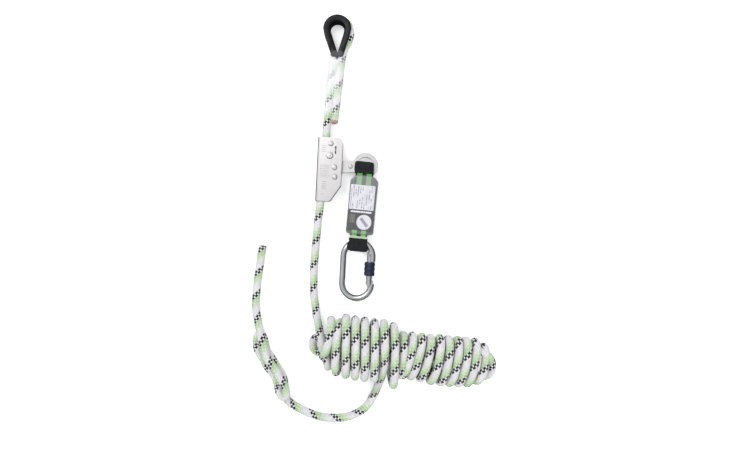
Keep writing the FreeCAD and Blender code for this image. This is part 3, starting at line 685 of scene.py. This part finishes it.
def turnedSteel(name, low, high, roughness, scale=700.0, depth=0.00003, edge=0.0):
    # plain steel with a fine grain; low and high are its darker and lighter shades, edge is how much painted shade
    # darkens its side faces
    add, join = startMaterial(name, roughness, 1.0)
    place = objectPlace(add)
    grain = add("TexNoise", {"Vector": place, "Scale": scale, "Detail": 3.0})
    smears = add("TexNoise", {"Vector": place, "Scale": 70.0, "Detail": 4.0})
    up = add("SeparateXYZ", add("NewGeometry", out="Normal"), out=2)
    # painted shade: side faces, where the normal leans away from up, are darkened as much as edge says
    steel = add("MixColour", add("MapRange", up, 0.3, 0.8, edge, 0.0), add("MixColour", smears, low, high), "#3c3a3b")
    return join(Base_Color=steel,
                Roughness=add("MapRange", smears, 0.3, 0.7, roughness - 0.05, roughness + 0.07),
                Normal=add("Bump", {"Height": grain, "Distance": depth}))


def dress(names, material):
    for name in names:
        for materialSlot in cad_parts[name].material_slots:
            materialSlot.material = material


plateSteel = satinPlate()
# bright from the rivet set
rivetSteel = turnedSteel("pressedStainlessRivet", "#c2bfbe", "#cfcccb", 0.45, 500.0, 0.000003)
# tumbled after blanking; its last number gives its side faces a painted shade
leverSteel = turnedSteel("blankedStainlessLever", "#c8c6c5", "#d3d1d0", 0.42, 600.0, 0.000006, 0.9)
castSteel = turnedSteel("castStainlessCam", "#7d7b7a", "#989593", 0.5, 300.0, 0.0002)  # investment cast, dull and grainy
springWire = turnedSteel("springSteelWire", "#6f6d6c", "#8a8887", 0.3)
# dipped and tumbled, cool grey
zincSteel = turnedSteel("zincPlatedSteel", "#c6c8c9", "#cfd0d2", 0.27, 500.0, 0.0000015)
dress(["grab_body"], plateSteel)
dress(["lever_arm", "pivot_spacers"], leverSteel)
dress(["cam_pad", "gravity_slider"], castSteel)
dress(["lever_spring"], springWire)
dress(["karabiner_frame", "gate_tube", "gate_hinge_pin", "gate_latch_pin"], zincSteel)
print("stage: metal parts dressed")


# the energy absorber

absorberValues = {
    "eye": (0.03268, -0.01173),  # centre of the lever's eye, metres
    "tilt": math.radians(-5.6),
    "stripeIn": 3.6, "stripeOut": 12.4,          # green bands on the webbing, from its middle, mm
    "weave": 0.0016,                             # rib pitch of the webbing, metres
    "strapSides": 36,
    "packHalf": 24.9, "packMiddle": 1.1, "packTop": -27.0, "packBottom": -121.3, "shoulder": 9.0, "neckHalf": 16.0,
    "cornerRadius": 3.0,
    "sheetHalf": 21.3, "sheetTop": -35.2, "labelBottom": -78.0, "sheetBottom": -113.6,
}
labelValues = {
    # metres from the eye's centre on the pack: (from, to) across, then (from, to) along
    "print": (-0.0195, 0.0195, -0.0762, -0.0372), "bar": (-0.0176, 0.0184, -0.0832, -0.0804),
    "column": (-0.0186, -0.0098, -0.1015, -0.0868), "columnPitch": 0.0029,
    "rowStart": -0.0212, "rowPitch": 0.0039,     # rows of small print
    "disc": (0.0070, -0.0992), "discRadius": 0.0129,
    "symbol": (0.75, 0.66, 0.0026, 0.0092),      # direction, half width and half length of the shape in the disc
    "bottom": 21.5, "top": 21.9,                 # the sheet's two faces over the floor, mm
}
acrossPack = Vector((math.cos(absorberValues["tilt"]), math.sin(absorberValues["tilt"]), 0))
alongPack = Vector((-acrossPack.y, acrossPack.x, 0))


def onPack(a, b, z):
    # a right, b up from the eye's centre, z over the floor, in millimetres
    return Vector((*absorberValues["eye"], 0)) + (acrossPack * a + alongPack * b + Vector((0, 0, z))) * mm


def packPlace(add):
    # metres across and along the pack from the eye's centre, and over the floor
    return add("SeparateXYZ", objectPlace(add, absorberValues["tilt"], (*absorberValues["eye"], 0)), out=None)


def ribbedWeave(add, u, v):
    # height of a ribbed tape weave: picks across, warp floats along
    pitch = absorberValues["weave"]
    warp = add("SINE", add("MULTIPLY", u, math.tau / pitch))
    side = add("MULTIPLY", add("SIGN", warp), 0.25)
    weft = add("SINE", add("MULTIPLY", add("ADD", add("DIVIDE", v, pitch), side), math.tau))
    return add("ADD", add("MULTIPLY", add("ABSOLUTE", warp), 0.6), add("MULTIPLY", weft, 0.4))


def blackSleeving():
    # tubular black polyamide webbing, worn soft: matt, tight ribs
    add, join = startMaterial("blackTubularWebbing", 0.8, Sheen_Weight=0.12, Sheen_Roughness=0.5, Specular_IOR_Level=0.25)
    height = ribbedWeave(add, *add("SeparateXYZ", add("UVMap", uv_map="uvMap"), out=None)[:2])
    lint = add("TexNoise", {"Vector": objectPlace(add), "Scale": 260.0, "Detail": 5.0})
    colour = add("MixColour", add("MapRange", lint, 0.35, 0.8), "#101114", "#26272b")
    return join(Base_Color=colour, Normal=add("Bump", {"Height": height, "Distance": 0.0003, "Strength": 0.8}))


def stripedTape():
    # woven polyester tape, black with two green stripes
    add, join = startMaterial("stripedPolyesterTape", 0.62, Sheen_Weight=0.2, Sheen_Roughness=0.4, Specular_IOR_Level=0.3)
    u, v = add("SeparateXYZ", add("UVMap", uv_map="uvMap"), out=None)[:2]
    height = ribbedWeave(add, u, v)
    stripe = band(add, add("ABSOLUTE", u), absorberValues["stripeIn"] * mm, absorberValues["stripeOut"] * mm)
    shade = add("TexNoise", {"Vector": objectPlace(add), "Scale": 400.0, "Detail": 3.0})
    green = add("MixColour", shade, "#55b548", "#7fd068")
    colour = add("MixColour", stripe, "#0f1512", green)
    # the clear cover's tail lies over the lower end of the tape
    tail = add("MULTIPLY", add("MapRange", packPlace(add)[1], -0.1240, -0.1234, 0.85, 0.0),
               add("MapRange", packPlace(add)[2], 0.010, 0.011))
    colour = add("MixColour", tail, colour, "#c3d6bf")
    # painted shade: the low places between the weave's ribs are darkened
    dark = add("MapRange", height, -0.4, 0.5, 0.7, 1.0)
    colour = add("MixColour", 1.0, colour, add("CombineColor", dark, dark, dark), blend_type="MULTIPLY")
    return join(Base_Color=colour, Normal=add("Bump", {"Height": height, "Distance": 0.00035, "Strength": 0.8}))


def foldedStrap(name, rows, material, rings, seed, wave=0.0):
    # a strap along rows of (b, z, half width, thickness, middle a), with soft round edges; u and v in metres
    noise = random.Random(seed)
    phases = [noise.uniform(0, 6.28) for number in range(4)]
    points, travelled, around = [], [0.0], absorberValues["strapSides"]
    angles = [math.tau * k / around for k in range(around)]

    def rowAt(t):
        # smooth walk through the rows
        t = t * (len(rows) - 1)
        i = min(int(t), len(rows) - 2)
        f = t - i
        before, a, b, after = rows[max(i - 1, 0)], rows[i], rows[i + 1], rows[min(i + 2, len(rows) - 1)]
        return [0.5 * (2 * q + (r - p) * f + (2 * p - 5 * q + 4 * r - s) * f * f + (3 * q - p - 3 * r + s) * f ** 3)
                for p, q, r, s in zip(before, a, b, after)]
    line = [rowAt(i / rings) for i in range(rings + 1)]
    for i, (b, z, half, thick, middle) in enumerate(line):
        if i:
            travelled.append(travelled[-1] + math.hypot(b - line[i - 1][0], z - line[i - 1][1]) * mm)
        ahead, behind = line[min(i + 1, rings)], line[max(i - 1, 0)]
        db, dz = ahead[0] - behind[0], ahead[1] - behind[1]
        size = math.hypot(db, dz) or 1
        upB, upZ = -dz / size, db / size
        for angle in angles:
            a = softened(math.cos(angle), 0.35) * half
            out = softened(math.sin(angle), 0.6) * thick / 2
            ripple = wave * math.sin(a * 0.31 + phases[0] + i * 0.11) * math.sin(i * 0.23 + phases[1])
            ripple += 0.5 * wave * math.sin(a * 0.7 + phases[2] - i * 0.17)
            pull = wave * 0.6 * math.sin(i * 0.3 + phases[3]) * abs(a) / max(half, 1)
            points.append(onPack(middle + a + math.copysign(pull, a), b + upB * (out + ripple), z + upZ * (out + ripple)))
    us = [softened(math.cos(angle), 0.35) for angle in angles]
    corners = [(u * row[2] * mm, v) for row, low, high in zip(line, travelled, travelled[1:]) for here,
               there in zip(us, us[1:] + us[:1])
               for u, v in ((here, low), (there, low), (there, high), (here, high))]
    corners += [(0.0, v) for v in (travelled[0], travelled[-1]) for k in range(around)]
    faces = tubeFaces(rings + 1, around) + capFaces(rings + 1, around)
    return outward(meshPiece(name, points, faces, material, corners=corners))


def packOutline(inset):
    # outline of the pack with its shoulders, its corners rounded, as (a, b) in millimetres
    v = absorberValues
    half, neck = v["packHalf"] - inset, v["neckHalf"] - inset / 2
    top, bottom, third = v["packTop"] + v["shoulder"] - inset, v["packBottom"] + inset, v["shoulder"] / 3
    sharp = [(-half, bottom + third), (-half + third, bottom), (half - third, bottom), (half, bottom + third),
             (half, v["packTop"]), (neck, top), (-neck, top), (-half, v["packTop"])]
    outline = []
    for i, corner in enumerate(sharp):
        here = Vector(corner)
        before, after = Vector(sharp[i - 1]) - here, Vector(sharp[(i + 1) % len(sharp)]) - here
        cutBack = min(v["cornerRadius"], before.length * 0.45, after.length * 0.45)
        start, end = here + before.normalized() * cutBack, here + after.normalized() * cutBack
        for step in range(6):
            f = step / 5
            outline.append(start * (1 - f) ** 2 + here * 2 * f * (1 - f) + end * f * f)
    return [place + Vector((v["packMiddle"], 0)) for place in outline]


def packShell(name, levels, material):
    # a soft block from loops of (inset, height)
    points = [onPack(place.x, place.y, z) for inset, z in levels for place in packOutline(inset)]
    size = len(levels), len(points) // len(levels)
    return outward(meshPiece(name, points, tubeFaces(*size) + capFaces(*size), material))


def packCore():
    # folded tear webbing: a dark card on top, layer edges on the sides, stripes showing at the shoulder
    add, join = startMaterial("foldedTearWebbing", 0.6, Specular_IOR_Level=0.35)
    a, b, z = packPlace(add)
    stripe = band(add, add("ABSOLUTE", a), absorberValues["stripeIn"] * mm, absorberValues["stripeOut"] * mm)
    shoulder = add("MAXIMUM", add("MapRange", b, -0.0362, -0.0358), add("MapRange", b, -0.1135, -0.1130, 1.0, 0.0))
    up = add("SeparateXYZ", add("NewGeometry", out="Normal"), out=2)
    flat = add("GREATER_THAN", up, 0.6)
    layers = add("FRACT", add("DIVIDE", z, 0.0026))
    seam = add("GREATER_THAN", add("ABSOLUTE", add("SUBTRACT", layers, 0.5)), 0.38)
    weave = ribbedWeave(add, a, b)
    tape = add("MixColour", add("MULTIPLY", stripe, shoulder), "#3b3b41", "#79b85e")
    side = add("MixColour", seam, "#33363a", "#0c0d0f")
    height = add("ADD", add("MULTIPLY", weave, 0.3), add("MULTIPLY", seam, -1.0))
    return join(Base_Color=add("MixColour", flat, side, tape),
                Normal=add("Bump", {"Height": height, "Distance": 0.0003, "Strength": 0.7}))


def printedSheet():
    # coated paper label on a dark printed card: plain rows, a bar and a disc stand in for its print
    add, join = startMaterial("printedPaperLabel", 0.5, Specular_IOR_Level=0.4)
    a, b = packPlace(add)[:2]
    v, w = absorberValues, labelValues
    white = add("MapRange", b, (v["labelBottom"] - 0.15) * mm, (v["labelBottom"] + 0.15) * mm)
    # rows of small print run up the label, broken into strokes
    across = add("DIVIDE", add("SUBTRACT", a, w["rowStart"]), w["rowPitch"])
    row = band(add, add("FRACT", across), 0.3, 0.72, 0.06)
    strokes = add("CombineXYZ", add("MULTIPLY", add("FLOOR", across), 7.3), add("MULTIPLY", b, 900.0), None)
    letters = add("TexNoise", {"Vector": strokes, "Scale": 1.0, "Detail": 2.0})
    wordsAt = add("CombineXYZ", add("MULTIPLY", add("FLOOR", across), 3.1), add("MULTIPLY", b, 70.0), None)
    words = add("TexNoise", {"Vector": wordsAt, "Scale": 1.0, "Detail": 0.0})
    ink = add("MULTIPLY", row, add("MULTIPLY", add("MapRange", letters, 0.42, 0.52), add("MapRange", words, 0.42, 0.5)))
    inside = patch(add, a, b, w["print"])
    paper = add("MixColour", add("MULTIPLY", add("MULTIPLY", ink, inside), 0.85), "#dedce3", "#5a5963")
    bar = patch(add, a, b, w["bar"])
    barBreaks = add("TexNoise", {"W": add("MULTIPLY", a, 650.0), "Scale": 1.0, "Detail": 0.0}, noise_dimensions="1D")
    bar = add("MULTIPLY", bar, add("MapRange", barBreaks, 0.28, 0.4, 0.35, 1.0))
    offX, offY = add("SUBTRACT", a, w["disc"][0]), add("SUBTRACT", b, w["disc"][1])
    far = add("SQRT", add("ADD", add("POWER", offX, 2.0), add("POWER", offY, 2.0)))
    disc = add("MapRange", far, w["discRadius"] - 0.0002, w["discRadius"] + 0.0002, 1.0, 0.0)
    # a plain grey bar inside the disc
    turnX, turnY, wide, long = w["symbol"]
    tilted = add("ADD", add("MULTIPLY", offX, turnX), add("MULTIPLY", offY, turnY))
    crossed = add("SUBTRACT", add("MULTIPLY", offX, turnY), add("MULTIPLY", offY, turnX))
    symbol = add("MULTIPLY", band(add, tilted, -wide, wide, 0.0003), band(add, crossed, -long, long, 0.0004))
    column = patch(add, a, b, w["column"])
    columnRows = band(add, add("FRACT", add("DIVIDE", a, w["columnPitch"])), 0.2, 0.75, 0.1)
    dark = add("MixColour", bar, "#3c3b41", "#e9e7ec")
    dark = add("MixColour", disc, dark, add("MixColour", add("MULTIPLY", symbol, 0.75), "#dddbe2", "#6f6d77"))
    dark = add("MixColour", add("MULTIPLY", add("MULTIPLY", column, columnRows), 0.7), dark, "#8f8c6c")
    return join(Base_Color=add("MixColour", white, dark, paper))


def clearVinyl():
    # soft clear PVC, welded at its edges: glossy, faintly grey, with long ripples
    add, join = startMaterial("clearVinylCover", 0.12, Specular_IOR_Level=0.7)
    a, b = packPlace(add)[:2]
    rim = add("MAXIMUM", add("MapRange", add("ABSOLUTE", add("SUBTRACT", a, 0.0004)), 0.0215, 0.0235),
              add("MapRange", b, -0.1165, -0.1145, 1.0, 0.0))
    shoulder = add("MapRange", b, -0.036, -0.0345)
    clear = add("ADD", 0.1, add("ADD", add("MULTIPLY", rim, 0.14), add("MULTIPLY", shoulder, 0.22)))
    place = objectPlace(add, absorberValues["tilt"], sized=(1, 2.5, 1))
    ripples = add("TexNoise", {"Vector": place, "Scale": 60.0, "Detail": 2.0})
    return join(Base_Color=add("MixColour", ripples, "#a9abb2", "#d6d8dd"), Alpha=clear,
                Normal=add("Bump", {"Height": ripples, "Distance": 0.003, "Strength": 0.5}))


sleeveBlack = blackSleeving()
tapeStriped = stripedTape()
strapValues = {
    # name: material, slot, solid it stands for, rings, wave, seed, (b, z, half width, thickness, middle a) at each bend, mm
    "upperWebbingSleeve": (sleeveBlack, "black_webbing", "upper_sleeve", 72, 0.22, 3, (
        (-14.6, 5.7, 16.6, 3.4, -1), (-9, 5.7, 16.6, 4.0, -1.4), (-3, 5.7, 16.4, 4.0, -1.8), (2.0, 6.6, 14.2, 4.0, -2),
        (4.8, 11, 12.4, 3.8, -2), (4.2, 15.4, 15.6, 4.0, -2), (0.5, 16.4, 16.6, 4.0, -2), (-7, 16.4, 16.8, 4.1, -1.6),
        (-11, 16.4, 16.7, 4.0, -1.2), (-14.8, 16.3, 16.4, 3.4, -0.6))),
    "upperStripedWebbing": (tapeStriped, "green_webbing", "upper_webbing", 24, 0.0, 5, (
        (-12, 5.8, 15.4, 3.0, 0), (-17, 5.8, 15.4, 3.0, 0), (-24, 7.5, 15.2, 3.2, 0), (-27.2, 10.0, 14.8, 3.0, 0))),
    "upperStripedWebbingTop": (tapeStriped, "green_webbing", None, 24, 0.0, 6, (
        (-27.2, 19.4, 15.2, 2.6, 0), (-22, 18.4, 15.4, 2.8, 0), (-17, 16.6, 15.4, 2.9, 0), (-12, 16.4, 15.4, 2.9, 0))),
    "lowerStripedWebbing": (tapeStriped, "green_webbing", "lower_webbing", 24, 0.0, 8, (
        (-112.6, 19.4, 15.0, 3.0, 0), (-117.5, 18.6, 15.0, 3.2, 0), (-121, 17.6, 15.0, 3.2, 0), (-126, 17.4, 15.0, 3.0, 0),
        (-131, 17.4, 15.0, 2.6, 0))),
    "lowerStripedWebbingUnder": (tapeStriped, "green_webbing", None, 24, 0.0, 9, (
        (-131, 2.0, 14.8, 2.2, 0), (-126, 2.8, 14.8, 2.4, 0), (-121.5, 4.8, 14.9, 2.8, 0), (-117.5, 6.4, 15.0, 3.0, 0))),
    "lowerWebbingSleeve": (sleeveBlack, "black_webbing", "lower_sleeve", 72, 0.18, 4, (
        (-129.3, 1.3, 15.2, 2.2, 0), (-136, 1.25, 15.6, 2.2, 0), (-144, 1.3, 16.0, 2.2, 0), (-148.2, 3.6, 12.5, 2.6, 1),
        (-149.0, 9.5, 11.2, 2.8, 1), (-149.2, 15.2, 15.8, 2.8, 1), (-146.2, 17.3, 18.2, 2.9, 0.3),
        (-140, 17.5, 18.0, 3.0, -0.4), (-135, 17.5, 15.9, 3.0, 0.2), (-131, 17.5, 16.2, 3.0, 0), (-127.6, 17.5, 16.4, 2.8, 0))),
}


def layStraps(*names):
    for name in names:
        material, slot, solid, rings, wave, seed, rows = strapValues[name]
        settle(foldedStrap(name, rows, material, rings, seed, wave), "absorber", slot, *([solid] if solid else []))


layStraps("upperWebbingSleeve", "upperStripedWebbing", "upperStripedWebbingTop")
core = packShell("foldedTearPack",
                 ((6, 1.3), (2.4, 1.3), (1.3, 2.4), (1.2, 5), (1.2, 18.2), (1.5, 20.6), (2.4, 21.4), (6, 21.4)), packCore())
settle(core, "absorber", "green_webbing", "tear_webbing")
vinyl = packShell("clearPackCover", ((7, 0.2), (3, 0.25), (1.2, 0.9), (0.25, 3.2), (0.0, 8), (0.0, 16), (0.25, 20.2),
                                     (1.0, 22.0), (2.6, 22.8), (7, 23.0)), clearVinyl())
settle(vinyl, "absorber", "clear_vinyl", "pack_cover")


def buildLabelSheet():
    # a thin sheet with rounded corners, laid on the pack
    v = absorberValues
    half, top, bottom, radius = v["sheetHalf"], v["sheetTop"], v["sheetBottom"], 1.6
    outline = []
    for cx, cy, start in ((half, top, 0), (-half, top, 90), (-half, bottom, 180), (half, bottom, 270)):
        for step in range(5):
            angle = math.radians(start + step * 22.5)
            outline.append((cx - math.copysign(radius, cx) + radius * math.cos(angle),
                            cy - (radius if cy == top else -radius) + radius * math.sin(angle)))
    points = [onPack(a, b, z) for z in (labelValues["bottom"], labelValues["top"]) for a, b in outline]
    faces = capFaces(2, len(outline)) + tubeFaces(2, len(outline))
    return outward(meshPiece("packLabel", points, faces, printedSheet(), smooth=False))


settle(buildLabelSheet(), "absorber", "printed_label", "label_sheet")
layStraps("lowerStripedWebbing", "lowerStripedWebbingUnder", "lowerWebbingSleeve")
print("stage: energy absorber made")


# turned parts: rivets and the lock sleeve

rivetValues = {
    # solid: shank radius, head radius, body, in millimetres
    "top_rivet": (3.0, 4.5, "grab"), "guide_rivet": (2.5, 6.2, "grab"), "pivot_rivet": (3.5, 5.0, "grab"),
    "stop_rivet": (2.5, 4.8, "grab"), "lever_rivet": (2.4, 3.8, "lever"),
}
lockValues = {
    "karabinerAt": (0.0196, -0.1703, 0.008566), "turn": math.radians(-3.2), "slope": (0.0688, 0.0324),
    "gateX": 21.3, "bottom": -33.0, "length": 24.0, "bore": 5.05, "rim": 7.2, "steps": 48, "waist": 7.95, "bulge": 1.15,
    "bulges": 3,
    "knurlRound": 36, "knurlRows": 15, "knurlSize": 0.82, "knurlHeight": 0.34,
}


def turnedPart(name, profile, place, material, facets=64, closed=False):
    # profile of (radius, height) in millimetres spun round the local z axis of place
    points, faces, rows = [], [], len(profile)
    for k in range(facets):
        angle = math.tau * k / facets
        for r, h in profile:
            points.append(place @ (Vector((r * math.cos(angle), r * math.sin(angle), h)) * mm))
    for k in range(facets):
        n = (k + 1) % facets
        for j in range(rows if closed else rows - 1):
            faces.append((k * rows + j, n * rows + j, n * rows + (j + 1) % rows, k * rows + (j + 1) % rows))
    return outward(meshPiece(name, points, faces, material))


def buildRivet(node):
    shank, head, body = rivetValues[node]
    low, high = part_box(node)
    place = Matrix.Translation(((low.x + high.x) / 2, (low.y + high.y) / 2, 0))
    top, foot = high.z / mm, low.z / mm
    side = [(0.001, 0.0), (0.28, 0.02), (0.34, 0.16), (0.42, 0.2), (0.5, 0.06), (0.66, 0.14), (0.82, 0.42), (0.94, 0.85),
            (1.0, 1.3), (0.985, 1.42)]
    upper = [(head * share, top - down) for share, down in side]
    lower = [(head * share, foot + down) for share, down in reversed(side)]
    piece = turnedPart("".join(w if i == 0 else w.title() for i, w in enumerate(node.split("_"))),
                       upper + [(shank, top - 1.42), (shank, foot + 1.42)] + lower, place, rivetSteel)
    settle(piece, body, "stainless_rivet", node)


for rivetNode in rivetValues:
    buildRivet(rivetNode)


def blueAnodised():
    # turned aluminium, knurled and anodised dark blue: satin with brighter, worn knurl tips
    add, join = startMaterial("darkBlueAnodisedAluminium", 0.42, 0.7)
    worn = add("TexNoise", {"Vector": objectPlace(add), "Scale": 600.0, "Detail": 4.0})
    edges = add("NewGeometry", out="Pointiness")
    tips = add("MapRange", edges, 0.5, 0.62)
    colour = add("MixColour", worn, "#0d101a", "#1d2337")
    return join(Base_Color=add("MixColour", tips, colour, "#545d7c"), Roughness=add("MapRange", worn, 0.3, 0.7, 0.36, 0.5))


def lockPlace():
    # the sleeve's own frame: z up its axis, standing on its lower end
    v = lockValues
    lean = Vector((0, 0, 1)).rotation_difference(Vector((-v["slope"][0], -v["slope"][1], 1))).to_matrix().to_4x4()
    frameOf = Matrix.Translation(v["karabinerAt"]) @ Matrix.Rotation(v["turn"], 4, "Z") @ lean
    return frameOf @ Matrix.Translation((v["gateX"] * mm, v["bottom"] * mm, 0)) @ Matrix.Rotation(-math.pi / 2, 4, "X")


def geometryTree(name, sizes):
    # one named input for every size
    tree = bpy.data.node_groups.new(name, "GeometryNodeTree")
    face = tree.interface
    face.new_socket("Geometry", in_out="INPUT", socket_type="NodeSocketGeometry")
    for label, size in sizes.items():
        face.new_socket(label, in_out="INPUT", socket_type="NodeSocketInt" if isinstance(size, int) else "NodeSocketFloat")
    face.new_socket("Geometry", in_out="OUTPUT", socket_type="NodeSocketGeometry")
    return tree


def grown(piece, tree, sizes):
    # the sizes go in by the identifiers of their sockets before the piece is worked out
    modifier = piece.modifiers.new(tree.name, "NODES")
    modifier.node_group = tree
    for item in tree.interface.items_tree:
        if item.item_type == "SOCKET" and item.in_out == "INPUT" and item.name in sizes:
            modifier[item.identifier] = sizes[item.name]
    return finished(piece)


def knurlTree(material, sizes):
    # small four-sided points over the bulges of the sleeve, row after row and half a step on
    v = lockValues
    tree = geometryTree("knurl", sizes)
    add = partial(addNode, tree)
    given = add("NodeGroupInput", out=None)
    number = add("GeometryNodeInputIndex")
    row = add("FLOOR", add("DIVIDE", number, given["Round"]))
    column = add("FLOORED_MODULO", number, given["Round"])
    column = add("ADD", column, add("MULTIPLY", add("FLOORED_MODULO", row, 2.0), 0.5))
    angle = add("MULTIPLY", add("DIVIDE", column, given["Round"]), math.tau)
    share = add("DIVIDE", add("ADD", row, 0.5), given["Rows"])
    wave = add("POWER", add("ABSOLUTE", add("SINE", add("MULTIPLY", share, math.pi * v["bulges"]))), 0.5)
    radius = add("ADD", given["Waist"], add("MULTIPLY", wave, given["Bulge"]))
    outwards = add("CombineXYZ", add("COSINE", angle), add("SINE", angle), None)
    spot = add("VectorMath", {"Vector": outwards, "Scale": radius}, operation="SCALE")
    rise = add("CombineXYZ", None, None, add("MULTIPLY", share, given["Length"]))
    place = add("VectorMath", spot, rise, operation="ADD")
    count = add("MULTIPLY", given["Round"], given["Rows"])
    dots = add("GeometryNodePoints", {"Count": count, "Position": place})
    point = add("GeometryNodeMeshCone", {"Vertices": 4, "Radius Top": 0.0, "Radius Bottom": given["Point Size"],
                                         "Depth": given["Point Height"]}, fill_type="NONE")
    aim = add("FunctionNodeAlignRotationToVector", {"Vector": outwards}, axis="Z")
    placed = add("GeometryNodeInstanceOnPoints", {"Points": dots, "Instance": point, "Rotation": aim})
    real = add("GeometryNodeRealizeInstances", {"Geometry": placed})
    joined = add("GeometryNodeJoinGeometry", given["Geometry"])
    tree.links.new(real, joined.node.inputs[0])
    painted = add("GeometryNodeSetMaterial", {"Geometry": joined, "Material": material})
    add("NodeGroupOutput", {"Geometry": painted}, out=None)
    return tree


def buildLockSleeve():
    v = lockValues
    material = blueAnodised()
    steps = v["steps"]
    outside = [(v["waist"] + v["bulge"] * abs(math.sin(math.pi * v["bulges"] * i / steps)) ** 0.5,
                v["length"] * i / steps) for i in range(1, steps)]
    profile = [(v["bore"], 0), (v["rim"], 0)] + outside + [(v["rim"], v["length"]), (v["bore"], v["length"])]
    piece = turnedPart("lockSleeve", profile, Matrix.Identity(4), material, 72, closed=True)
    sizes = {"Round": v["knurlRound"], "Rows": v["knurlRows"], "Length": v["length"] * mm, "Waist": v["waist"] * mm,
             "Bulge": v["bulge"] * mm, "Point Size": v["knurlSize"] * mm, "Point Height": v["knurlHeight"] * mm}
    grown(piece, knurlTree(material, sizes), sizes)
    piece.data.transform(lockPlace())
    settle(piece, "screw_sleeve", "blue_aluminium", "lock_sleeve")


buildLockSleeve()
print("stage: rivets and lock sleeve turned")


# stitching

stitchValues = {
    "length": 1.9, "pitch": 2.6, "thread": 0.32,
    # rows of stitches on the absorber: (a, b, z) from and to, in millimetres from the eye
    "rows": (((-15.4, -12.4, 18.3), (13.4, -12.4, 18.3)), ((-15.4, -10.0, 18.45), (13.2, -10.0, 18.45)),
             ((-13.5, -131.4, 18.95), (13.5, -131.4, 18.95)), ((-13.6, -133.6, 19.0), (13.6, -133.6, 19.0)),
             ((-13, -16.2, 18.15), (13, -16.2, 18.15)), ((-13, -17.8, 18.2), (13, -17.8, 18.2))),
}


def bondedThread():
    # bonded polyester sewing thread, black, slightly waxy
    add, join = startMaterial("bondedPolyesterThread", 0.45)
    twist = add("TexNoise", {"Vector": objectPlace(add), "Scale": 900.0, "Detail": 2.0})
    return join(Base_Color=add("MixColour", twist, "#0d0d10", "#2b2b30"),
                Normal=add("Bump", {"Height": twist, "Distance": 0.0002}))


def stitchTree(material, sizes):
    tree = geometryTree("stitches", sizes)
    add = partial(addNode, tree)
    given = add("NodeGroupInput", out=None)
    seams = add("GeometryNodeMeshToCurve", {"Mesh": given["Geometry"]})
    even = add("GeometryNodeResampleCurve", {"Curve": seams, "Length": given["Pitch"]}, mode="LENGTH")
    along = add("GeometryNodeInputTangent")
    aim = add("FunctionNodeAlignRotationToVector", {"Vector": along}, axis="Z")
    thread = add("GeometryNodeMeshUVSphere", {"Segments": 8, "Rings": 6, "Radius": given["Thread Radius"]})
    stretch = add("DIVIDE", add("MULTIPLY", given["Stitch Length"], 0.5), given["Thread Radius"])
    size = add("CombineXYZ", 1.0, 1.0, stretch)
    placed = add("GeometryNodeInstanceOnPoints", {"Points": even, "Instance": thread, "Rotation": aim, "Scale": size})
    real = add("GeometryNodeRealizeInstances", {"Geometry": placed})
    painted = add("GeometryNodeSetMaterial", {"Geometry": real, "Material": material})
    add("NodeGroupOutput", {"Geometry": painted}, out=None)
    return tree


def buildStitches():
    points, edges = [], []
    for start, end in stitchValues["rows"]:
        edges.append((len(points), len(points) + 1))
        points += [tuple(onPack(*start)), tuple(onPack(*end))]
    mesh = bpy.data.meshes.new("webbingStitches")
    mesh.from_pydata(points, edges, [])
    piece = bpy.data.objects.new("webbingStitches", mesh)
    bpy.context.scene.collection.objects.link(piece)
    sizes = {"Pitch": stitchValues["pitch"] * mm, "Stitch Length": stitchValues["length"] * mm,
             "Thread Radius": stitchValues["thread"] * mm}
    grown(piece, stitchTree(bondedThread(), sizes), sizes)
    piece.data.polygons.foreach_set("use_smooth", [True] * len(piece.data.polygons))
    settle(piece, "absorber", "black_webbing")


buildStitches()
print("stage: stitches sewn")
